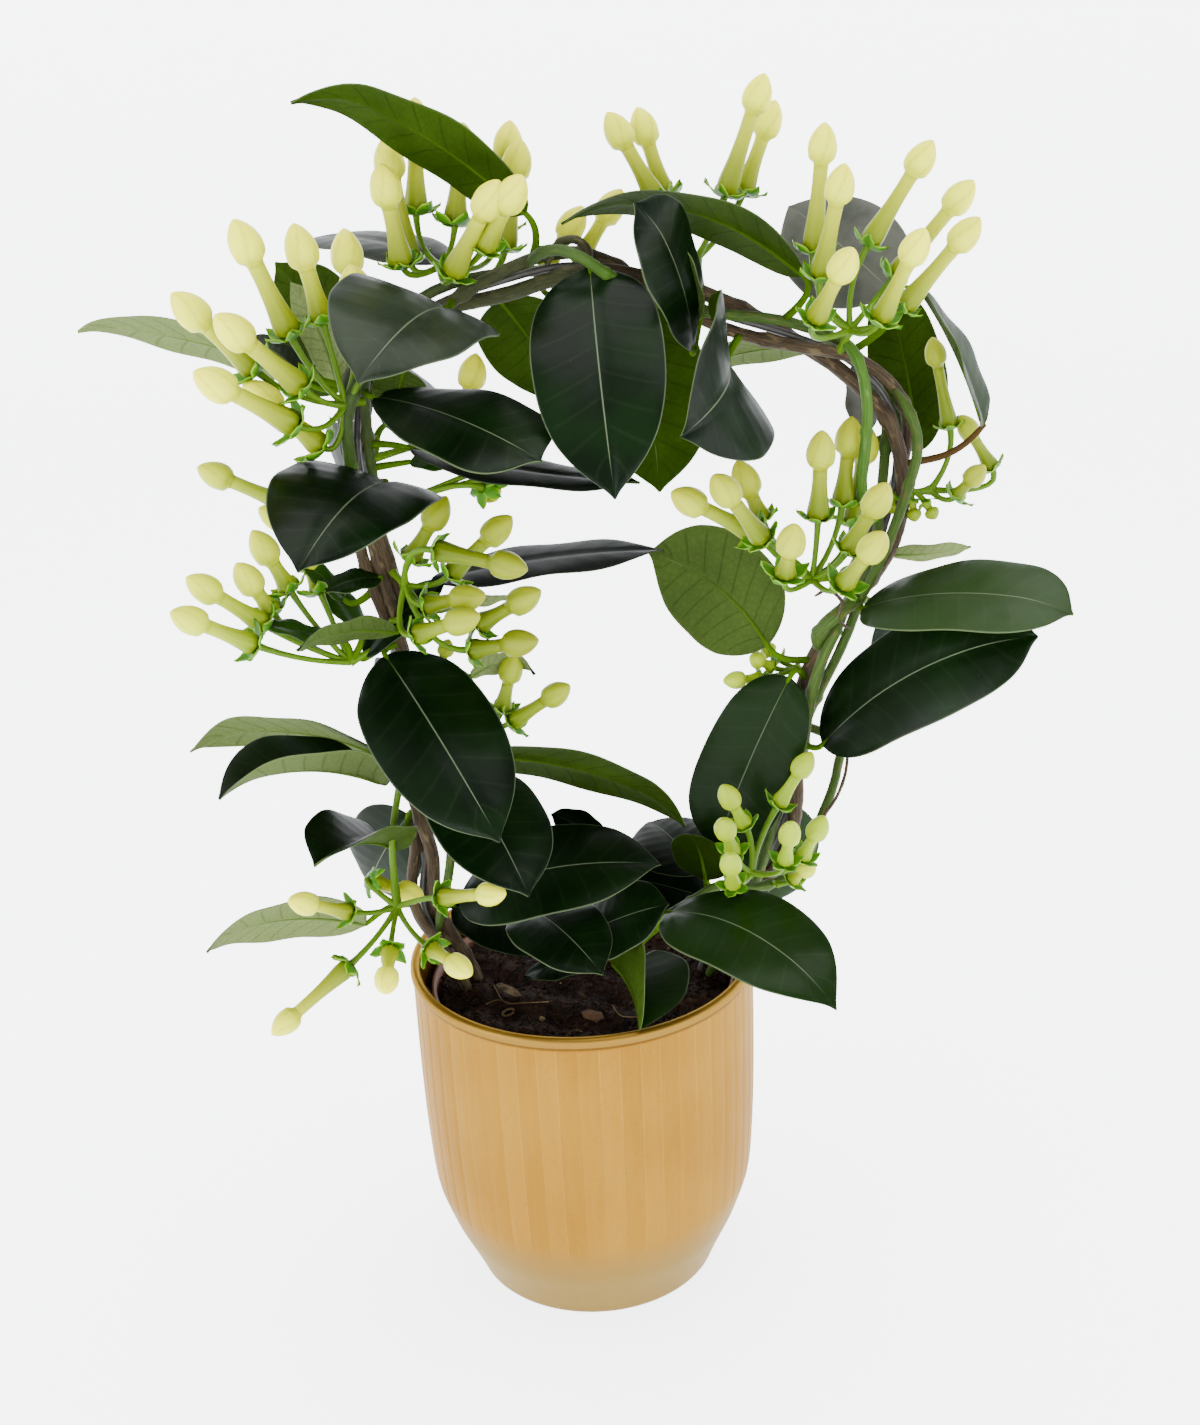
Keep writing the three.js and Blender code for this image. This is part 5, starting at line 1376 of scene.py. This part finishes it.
# %% The sprays
SPRAYS = {
    "umbel_left_upper": dict(hub=(345, 405, -10), head=5.5, buds=[(290, 335, 233, 219, -6, -6),
        (323, 322, 293, 223, 2, 2), (255, 370, 171, 293, -4, -6), (302, 388, 214, 315, -16, -12),
        (295, 425, 193, 372, -18, -14), (322, 447, 243, 382, -4, -4), (355, 320, 344, 228, 10, 6),
        (365, 330, 350, 264, 2, 2)]),
    "umbel_top_left": dict(hub=(440, 266, -2), head=5.1, dim=0.18, buds=[(402, 265, 380, 163, -8, -6),
        (410, 262, 384, 137, 8, 4), (416, 212, 415, 97, 18, 6), (455, 224, 463, 122, 17, 6),
        (452, 275, 499, 180, -16, -12), (484, 248, 522, 175, -18, -12), (505, 250, 520, 138, 20, 6),
        (500, 230, 510, 120, 28, 8)]),
    "umbel_top_centre": dict(hub=(556, 299, 18), head=4.8, buds=[(541, 279, 583, 206, 0, 2),
        (578, 262, 622, 189, 4, 4)]),
    "umbel_top_right": dict(hub=(697, 258, 19), head=4.8, buds=[(657, 200, 607, 112, 0, 4),
        (665, 197, 637, 107, 8, 6), (725, 195, 765, 73, -2, 0), (743, 193, 776, 100, 8, 4)]),
    "umbel_right_upper": dict(hub=(850, 330, -12), head=4.7, buds=[(813, 252, 825, 122, 4, 2),
        (820, 278, 845, 163, -8, -6), (815, 320, 853, 248, -22, -16), (868, 245, 933, 140, 4, 4),
        (893, 278, 974, 180, 2, 2), (880, 320, 925, 228, -14, -12), (903, 308, 980, 217, -6, -6)]),
    "umbel_right_outer": dict(hub=(930, 490, 0), head=3.7, young=0.5, dim=0.42,
        buds=[(950, 427, 932, 337, 2, 0), (992, 468, 960, 415, 3, 0), (955, 497, 985, 465, -4, -2)]),
    "umbel_right_mid": dict(hub=(812, 579, -16), head=4.9, young=0.3, dim=0.26,
        buds=[(757, 535, 671, 492, -6, -8), (763, 540, 713, 475, -14, -10), (762, 520, 737, 460, 2, 2),
        (818, 518, 822, 430, -4, -4), (842, 505, 852, 416, 6, 4), (853, 525, 868, 425, 10, 8),
        (848, 550, 888, 483, -10, -8), (785, 575, 795, 524, -20, -8), (843, 585, 885, 533, -16, -14)]),
    "umbel_left_mid_back": dict(hub=(375, 525, 8), head=4.8, young=0.4, dim=0.1,
        buds=[(295, 508, 197, 467, 4, 4), (330, 545, 258, 508, 4, 2)]),
    "umbel_left_lower": dict(hub=(350, 662, -10), head=4.9, young=0.35,
        buds=[(290, 590, 252, 530, 2, 2), (272, 612, 236, 563, -4, -4), (265, 625, 186, 577, -10, -8),
        (255, 645, 170, 612, -18, -12), (320, 592, 298, 540, 8, 6)], leaves=[near(340, 640, -12, 258,
        622, 30, 12, 60, tone=0.6, pale=0.4), far(360, 630, -6, 322, 572, 30, 12, 40, tone=0.6,
        pale=0.4)]),
    "umbel_left_inner": dict(hub=(405, 585, -12), head=4.8, young=0.5, dim=0.52,
        buds=[(410, 560, 447, 496, 8, 4), (450, 575, 512, 516, 2, 0), (435, 550, 528, 570, -14, -10),
        (425, 605, 486, 595, -8, -6), (415, 635, 480, 615, -16, -8), (478, 625, 541, 590, -2, -4),
        (470, 650, 539, 640, -8, -6)]),
    "umbel_left_low_back": dict(hub=(480, 730, 8), head=4.4, young=0.6, dim=0.4,
        buds=[(502, 710, 515, 652, 0, 0), (512, 722, 570, 685, -4, -6)]),
    "umbel_low_left": dict(hub=(397, 907, -24), head=4.3, via=((394, 875, -18), (392, 842, -15),
        (396, 806, -12), (403, 768, -6)), dim=0.05, buds=[(350, 912, 288, 900, -8, -12),
        (350, 965, 272, 1035, -14, -14), (390, 950, 385, 993, -18, -22), (430, 948, 472, 975, -14, -14),
        (440, 897, 506, 893, -10, -14), (370, 880, 424, 898, 6, 8)]),
    "umbel_low_right": dict(hub=(751, 873, -30), head=3.9, young=0.85, dim=0.06,
        buds=[(745, 825, 722, 785, 0, -4), (733, 852, 722, 820, -8, -12),
        (733, 885, 730, 855, -14, -12), (778, 805, 812, 752, 2, -2), (785, 862, 792, 822, -12, -8),
        (802, 858, 825, 816, -4, -4)]),
    "umbel_right_young": dict(hub=(797, 668, 8), head=3.3, young=0.8,
        buds=[(772, 667, 750, 656, -2, -2), (760, 678, 723, 681, -6, -4), (780, 660, 762, 645, 4, 2)]),
    "twig_far_left": dict(hub=(388, 775, -3), thick=1.2, leaves=[far(385, 757, 2, 192, 741, 74, 36, 106,
        bow=7, hook=4, tone=0.1, pale=0.45), near(383, 783, -6, 219, 790, 64, 36, 77, bow=6, hook=3,
        cup=34, tone=0.1, pale=0.45)]),
    "twig_left_mid": dict(hub=(400, 620, -8), thick=1.2, leaves=[near(395, 632, -12, 296, 650, 50, 14,
        120, bow=4, tone=0.3, pale=0.3)]),
    "twig_low_left": dict(hub=(404, 832, -2), thick=1.2, leaves=[near(395, 848, -8, 314, 866, 50, 36,
        70, bow=5, cup=30, tone=0.1, pale=0.2), far(408, 815, 12, 370, 885, 52, 34, 20, bow=4, tone=0.1,
        pale=0.2)]),
    "twig_low_centre": dict(hub=(555, 932, -21), thick=1.2, leaves=[near(526, 908, -14, 603, 975, 52,
        32, 28, bow=5), near(582, 936, -25, 669, 904, 38, 31, 40, bow=2)]),
    "twig_low_front": dict(hub=(654, 930, -31), thick=1.3, leaves=[near(668, 912, -36, 836, 1003, 78,
        40, 38, bow=9, sway=2, hook=3, tone=0.25, pale=0.1), near(613, 963, -22, 640, 1030, 42, 44, 60,
        bow=3, cup=58, via=((632, 950, -29),), tone=0.25, pale=0.1)]),
    "twig_low_right": dict(hub=(708, 888, -16), thick=1.2, leaves=[far(702, 874, -4, 650, 822, 46, 34,
        30, bow=3, tone=0.1, dim=0.6), near(706, 880, -17, 692, 834, 27, 22, 150, bow=2, tone=0.1,
        dim=0.6)]),
    "twig_back_upper_left": dict(hub=(376, 440, 10), thick=1.2, leaves=[far(385, 425, 20, 440, 395, 66,
        38, 15, bow=5, dim=0.5), far(370, 460, 20, 350, 480, 70, 38, 25, bow=6, dim=0.5)]),
    "twig_back_lower_left": dict(hub=(408, 690, 9), thick=1.2, leaves=[far(418, 690, 20, 450, 735, 68,
        38, 20, bow=5, dim=0.4), far(398, 700, 18, 380, 705, 60, 34, 15, bow=5, dim=0.4)]),
    "twig_back_right": dict(hub=(866, 600, 9), thick=1.2, leaves=[far(884, 612, 16, 932, 672, 60, 36,
        10, bow=5)]),
    "stray_bud": dict(node="umbel_top_left", hub=(448, 436, 16), head=5.0, dim=0.1,
        buds=[(466, 414, 476, 353, 2, 2)]),
    "gap_buds": dict(node="umbel_left_mid_back", hub=(412, 498, 4), head=4.0, thick=1.1, young=0.4,
        dim=0.25, buds=[(482, 470, 503, 463, 2, 10), (487, 479, 508, 476, 0, 10),
        (483, 488, 496, 494, -2, 6)]),
    "inner_small_bud": dict(node="umbel_left_inner", hub=(425, 672, -6), head=3.0, thick=1.0, young=0.7,
        dim=0.4, buds=[(440, 668, 449, 639, 0, 2)]),
    "outer_young_buds": dict(node="umbel_right_outer", hub=(905, 486, -2), head=2.6, thick=1.1,
        young=0.9, dim=0.4, buds=[(912, 500, 915, 522, -2, -2), (898, 494, 891, 514, 0, 0),
        (925, 502, 936, 519, -3, -3)]),
    "low_right_pale_bud": dict(node="umbel_low_right", hub=(778, 884, -26), head=3.6, thick=1.1,
        young=0.5, buds=[(792, 880, 814, 862, -2, -4)])}
print("buds:", sum(len(spray.get("buds", ())) for spray in SPRAYS.values()))

# %% Grow them
FIRST_SPRAY_SEED, FIRST_TWIG_SEED = 100, 200
for number, (name, row) in enumerate(SPRAYS.items()):
    spray = PLAIN_SPRAY | row
    seed = seed_mesh(name, spray, np.random.default_rng(FIRST_SPRAY_SEED + number))
    ending = "_buds" if spray["buds"] else "_stalk"
    hand_over(grown(name + ending, seed, CLUSTER_TREE, **BUD_PARTS, Material=BUD_WAX), spray["node"] or name)
    if spray["leaves"]:
        first, hub = FIRST_TWIG_SEED + 10 * number, seen(*spray["hub"])
        leaves = [(leaf, hub, first + place) for place, leaf in enumerate(spray["leaves"])]
        hand_over(leaf_piece(name + "_leaves", *leaves), name)
for part in BUD_PARTS.values():
    bpy.data.objects.remove(part)
print("sprays:", len(SPRAYS))

# %% [markdown]
# ## The gilt cover pot
#
# The pot is thrown clay: a foot that flares to a shoulder, a nearly upright wall, and a round bead
# for a rim. The wall is cut into narrow upright facets that die away above the plain foot. A profile
# turned round the axis gives the form. The facets repeat, so a Geometry Nodes tree cuts them: it
# finds how far each point is from the nearest facet edge, and draws it inwards there.

# %% The pot's profile, turned
POT_SIDES, POT_STEPS, INNER_STEPS = FACET_COUNT * 8, 90, 16
OUTER_PROFILE = [
    (45.6, 0), (46.9, 0.5), (47.9, 3), (52.2, 13), (56.0, 21.5), (58.3, 28), (60.1, 33.5), (61.3, 38),
    (62.0, 43), (62.8, 54), (63.6, 72), (64.0, 95), (64.0, 120), (63.95, 126.1), (63.75, 126.7),
    (64.2, 127.2), (64.8, 128.2), (64.8, 129.6), (64.0, 130.7), (62.9, 131), (61.8, 130.6), (61.1, 129.6),
    (60.9, 128)]
INNER_PROFILE = [(60.6, 118), (60.1, 90), (59, 55), (55.8, 34), (47, 12), (43.2, 6.5), (42, 5.1)]


def turned_wall(name, outer, inner, steps, sides):
    """A closed wall turned round the axis: up its outer profile, then down its inner one to the floor."""
    profile = [*smooth_line(outer, steps), *smooth_line(inner, INNER_STEPS)]
    points = [(radius * math.cos(angle), radius * math.sin(angle), height)
              for radius, height in profile for angle in round_angles(sides)]
    return make_solid(name, points, capped_tube(len(profile), sides))


pot_seed = turned_wall("pot_seed", OUTER_PROFILE, INNER_PROFILE, POT_STEPS, POT_SIDES)
print("pot seed:", len(pot_seed.vertices), "points")

# %% The tree that cuts the facets
def facet_tree():
    inputs = {"Facets": ("Float", FACET_COUNT), "Depth": ("Float", 0.0003), "Top": ("Float", FACET_TOP),
              "Foot": ("Float", FACET_FOOT), "Material": ("Material", None)}
    bench, given = new_tree("facets", inputs)
    x, y, z = bench.parts_of(bench.node("GeometryNodeInputPosition"))
    away = (x * x + y * y) ** 0.5
    _, edge = facet_turn(x, y, given["Facets"])
    outside = away.smooth(0.0612, 0.0618).maths("MAXIMUM", 1 - z.smooth(0.04, 0.05))
    push = edge**6 * facet_band(z, given["Foot"], given["Top"]) * outside * given["Depth"] * -1
    inwards = bench.xyz(x / away * push, y / away * push, 0.0)
    return finish_tree(bench, moved(bench, given["Geometry"], inwards), given["Material"])


pot_piece = grown("gilt_pot", pot_seed, facet_tree(), Material=GILT)
hand_over(pot_piece, "pot")
print("pot:", len(pot_piece.data.polygons), "faces")

# %% [markdown]
# ## The grow pot
#
# Only the rim of the grow pot shows, low inside the cover pot. It is thin moulded plastic with a
# rolled lip, so one more turned wall is enough.

# %% The grow pot's wall
GROW_SIDES, GROW_STEPS = 128, 46
GROW_OUTER = [
    (40.6, 5.5), (41, 6), (47, 52), (52.6, 101), (55.6, 107), (57.3, 108.4), (57.4, 112), (57.5, 120),
    (57.4, 120.8), (56.9, 121), (56.2, 120.8), (55.9, 120.2)]
GROW_INNER = [(55.8, 114), (55.6, 108.6), (54.2, 107), (51, 100), (45.4, 52), (39.6, 8), (39.2, 7.2)]
grow_wall = turned_wall("nursery_pot", GROW_OUTER, GROW_INNER, GROW_STEPS, GROW_SIDES)
hand_over(place_piece("nursery_pot", grow_wall, PLASTIC), "grow_pot")
print("grow pot:", len(grow_wall.polygons), "faces")

# %% [markdown]
# ## The soil
#
# Peat is a mass of crumbs with bark chips and fibres on it. A gently uneven disc carries it. One
# tree scatters small parts over that disc by a seeded rule, each turned and sized at random, and it
# is run four times: for dark crumbs, for bark chips, for fibres, and for a few pale grains.

# %% The soil's surface
SOIL_RADIUS, SOIL_BOTTOM_RADIUS, SOIL_BOTTOM = 53.6, 38.9, 7.3
SOIL_RINGS, SOIL_SIDES = 44, 120


def soil_height(x, y):
    wave = math.sin(0.31 * x + 1) + math.cos(0.27 * y + 0.12 * x)
    small = math.sin(1.1 * x + 0.7 * y) * math.cos(0.9 * y - 0.4 * x)
    small += math.sin(2.3 * y + 0.5) * math.sin(1.9 * x)
    return SOIL_TOP + 1.0 * wave + 0.35 * small


def soil_mesh():
    """The soil as one closed solid: an uneven disc, and a cone below it down to a flat bottom."""
    turns = [(math.cos(angle), math.sin(angle)) for angle in round_angles(SOIL_SIDES)]
    points = [(0, 0, soil_height(0, 0))]
    for ring in range(1, SOIL_RINGS + 1):
        radius = SOIL_RADIUS * ring / SOIL_RINGS
        points += [(radius * x, radius * y, soil_height(radius * x, radius * y)) for x, y in turns]
    points += [(SOIL_BOTTOM_RADIUS * x, SOIL_BOTTOM_RADIUS * y, SOIL_BOTTOM) for x, y in turns]
    faces = [(0, 1 + side, 1 + (side + 1) % SOIL_SIDES) for side in range(SOIL_SIDES)]
    faces += shifted(strip_of_quads(SOIL_RINGS + 1, SOIL_SIDES, closed=True), 1)
    faces.append(tuple(range((SOIL_RINGS + 1) * SOIL_SIDES, SOIL_RINGS * SOIL_SIDES, -1)))
    return make_solid("soil_bed", points, faces)


def lump(name, size, chance, rough):
    """A small irregular solid: a ball of twenty faces, stretched and dented."""
    shape = bmesh.new()
    bmesh.ops.create_icosphere(shape, subdivisions=1, radius=1)
    for corner in shape.verts:
        dent = 1 + chance.uniform(-rough, rough)
        corner.co = Vector(part * length * MM for part, length in zip(corner.co, size)) * dent
    mesh = bpy.data.meshes.new(name)
    shape.to_mesh(mesh)
    shape.free()
    return place_piece(name, mesh)


soil = soil_mesh()
print("soil:", len(soil.polygons), "faces")

# %% The scattering tree
def scatter_tree():
    inputs = {
        "Part": ("Object", None), "Density": ("Float", 20000.0), "Seed": ("Int", 1),
        "Smallest": ("Float", 0.5), "Largest": ("Float", 1.4), "Tilt": ("Float", 0.6),
        "Sink": ("Float", 0.0002), "Material": ("Material", None)}
    bench, given = new_tree("scatter", inputs)
    *_, up = bench.parts_of(bench.node("GeometryNodeInputNormal"))
    points = bench.node("GeometryNodeDistributePointsOnFaces", None, {
        "Mesh": given["Geometry"], "Selection": up.maths("GREATER_THAN", 0.6), "Density": given["Density"],
        "Seed": given["Seed"]})
    turn = bench.node("FunctionNodeRandomValue", {"data_type": "FLOAT_VECTOR"}, {
        "Min": (-1, -1, 0), "Max": (1, 1, 6.283), "Seed": given["Seed"]})
    turn = bench.vector_maths("MULTIPLY", turn, bench.xyz(given["Tilt"], given["Tilt"], 1.0))
    size = bench.node("FunctionNodeRandomValue", {"data_type": "FLOAT"}, {
        "Min": given["Smallest"], "Max": given["Largest"], "Seed": given["Seed"]})
    sunk = moved(bench, points, bench.xyz(0.0, 0.0, given["Sink"] * -1))
    return finish_tree(bench, placed_on(bench, sunk, given["Part"], turn, size), given["Material"])


SCATTER_TREE = scatter_tree()
chance = np.random.default_rng(7)
crumb = lump("crumb", (0.9, 0.7, 0.6), chance, 0.35)
chip = lump("chip", (4.2, 2.3, 0.9), chance, 0.3)
grain = lump("grain", (1.3, 1.1, 0.9), chance, 0.2)
fibre = lump("fibre", (5.0, 0.22, 0.2), chance, 0.1)
# Each row: the part, its density, its seed, its smallest and largest size, its tilt and its finish.
STREWN = {
    "peat_crumbs": (crumb, 260000.0, 3, 0.5, 1.5, 3.0, PEAT),
    "bark_chips": (chip, 5000.0, 11, 0.35, 0.9, 0.5, CHIP),
    "peat_fibres": (fibre, 22000.0, 23, 0.4, 1.1, 0.4, CHIP),
    "pale_grains": (grain, 700.0, 31, 0.4, 0.9, 2.0, DRY_SCRAP)}
STREWN_INPUTS = "Part", "Density", "Seed", "Smallest", "Largest", "Tilt", "Material"
for name, row in STREWN.items():
    hand_over(grown(name, soil, SCATTER_TREE, **dict(zip(STREWN_INPUTS, row))), "soil")
for part in (crumb, chip, grain, fibre):
    bpy.data.objects.remove(part)
hand_over(place_piece("soil_bed", soil, PEAT), "soil")
print("soil pieces:", len(STREWN) + 1)

# %% Dry scraps lying on the soil
def on_soil(u, v, above=1.5):
    """The place on the soil's surface that shows at a place on the drawing sheet."""
    front, back = seen(u, v, 0), seen(u, v, 10)
    depth = 10 * (SOIL_TOP + above - front[2]) / (back[2] - front[2])
    x, y, _ = seen(u, v, depth)
    return np.array([x, y, soil_height(x, y) + above])


STRAND_STEPS, RING_RADIUS = 24, 2.2
ring_turn = np.linspace(0.3, 5.8, STRAND_STEPS)
ring = on_soil(508, 1008) + RING_RADIUS * np.column_stack([
    np.cos(ring_turn), np.sin(ring_turn), 0.25 * np.cos(ring_turn)])
# Each row: the strand's radius, and the places it passes, some with their height above the soil.
LITTER = [
    (0.22, (494, 988), (506, 1000, 2.4), (522, 1003), (549, 1004)),
    (0.18, (486, 1004), (497, 998, 2.2), (512, 1002)), (0.2, (566, 1036), (575, 1030, 2.2), (583, 1035)),
    (0.18, (428, 990), (441, 1003, 2.0), (449, 1019)), (0.18, (612, 1004), (622, 1016, 2.0), (637, 1020))]
strands = [ring, *([on_soil(*place) for place in places] for _, *places in LITTER)]
radii = [0.45, *(radius for radius, *_ in LITTER)]
litter_seed = line_mesh("litter", [smooth_line(strand, STRAND_STEPS) for strand in strands], radii)
litter = grown("litter_strands", litter_seed, STEM_TREE, Sides=6, Spacing=0.0006, Roughness=0.00004,
               Material=DRY_SCRAP)
hand_over(litter, "soil")
scrap_start, scrap_end = on_soil(490, 982, 1.8), on_soil(527, 1002, 1.2)
heading = scrap_end - scrap_start
SCRAPS = {
    "dry_leaf_scrap": ((scrap_start + scrap_end) / 2, (7.4, 2.6, 0.5), SCRAP),
    "pale_bit": (on_soil(542, 1018, 1.2), (1.5, 1.2, 0.7), DRY_SCRAP),
    "brown_chip": (on_soil(592, 1017, 1.0), (5.5, 3.6, 1.0), BROWN_CHIP)}
for name, (place, size, finish) in SCRAPS.items():
    scrap = lump(name, size, chance, 0.12)
    scrap.data.transform(Matrix.Rotation(math.atan2(heading[1], heading[0]), 4, "Z"))
    scrap.data.transform(Matrix.Translation(Vector(place * MM)))
    scrap.data.materials.append(finish)
    hand_over(scrap, "soil")
print("litter:", len(strands), "strands and", len(SCRAPS), "scraps")
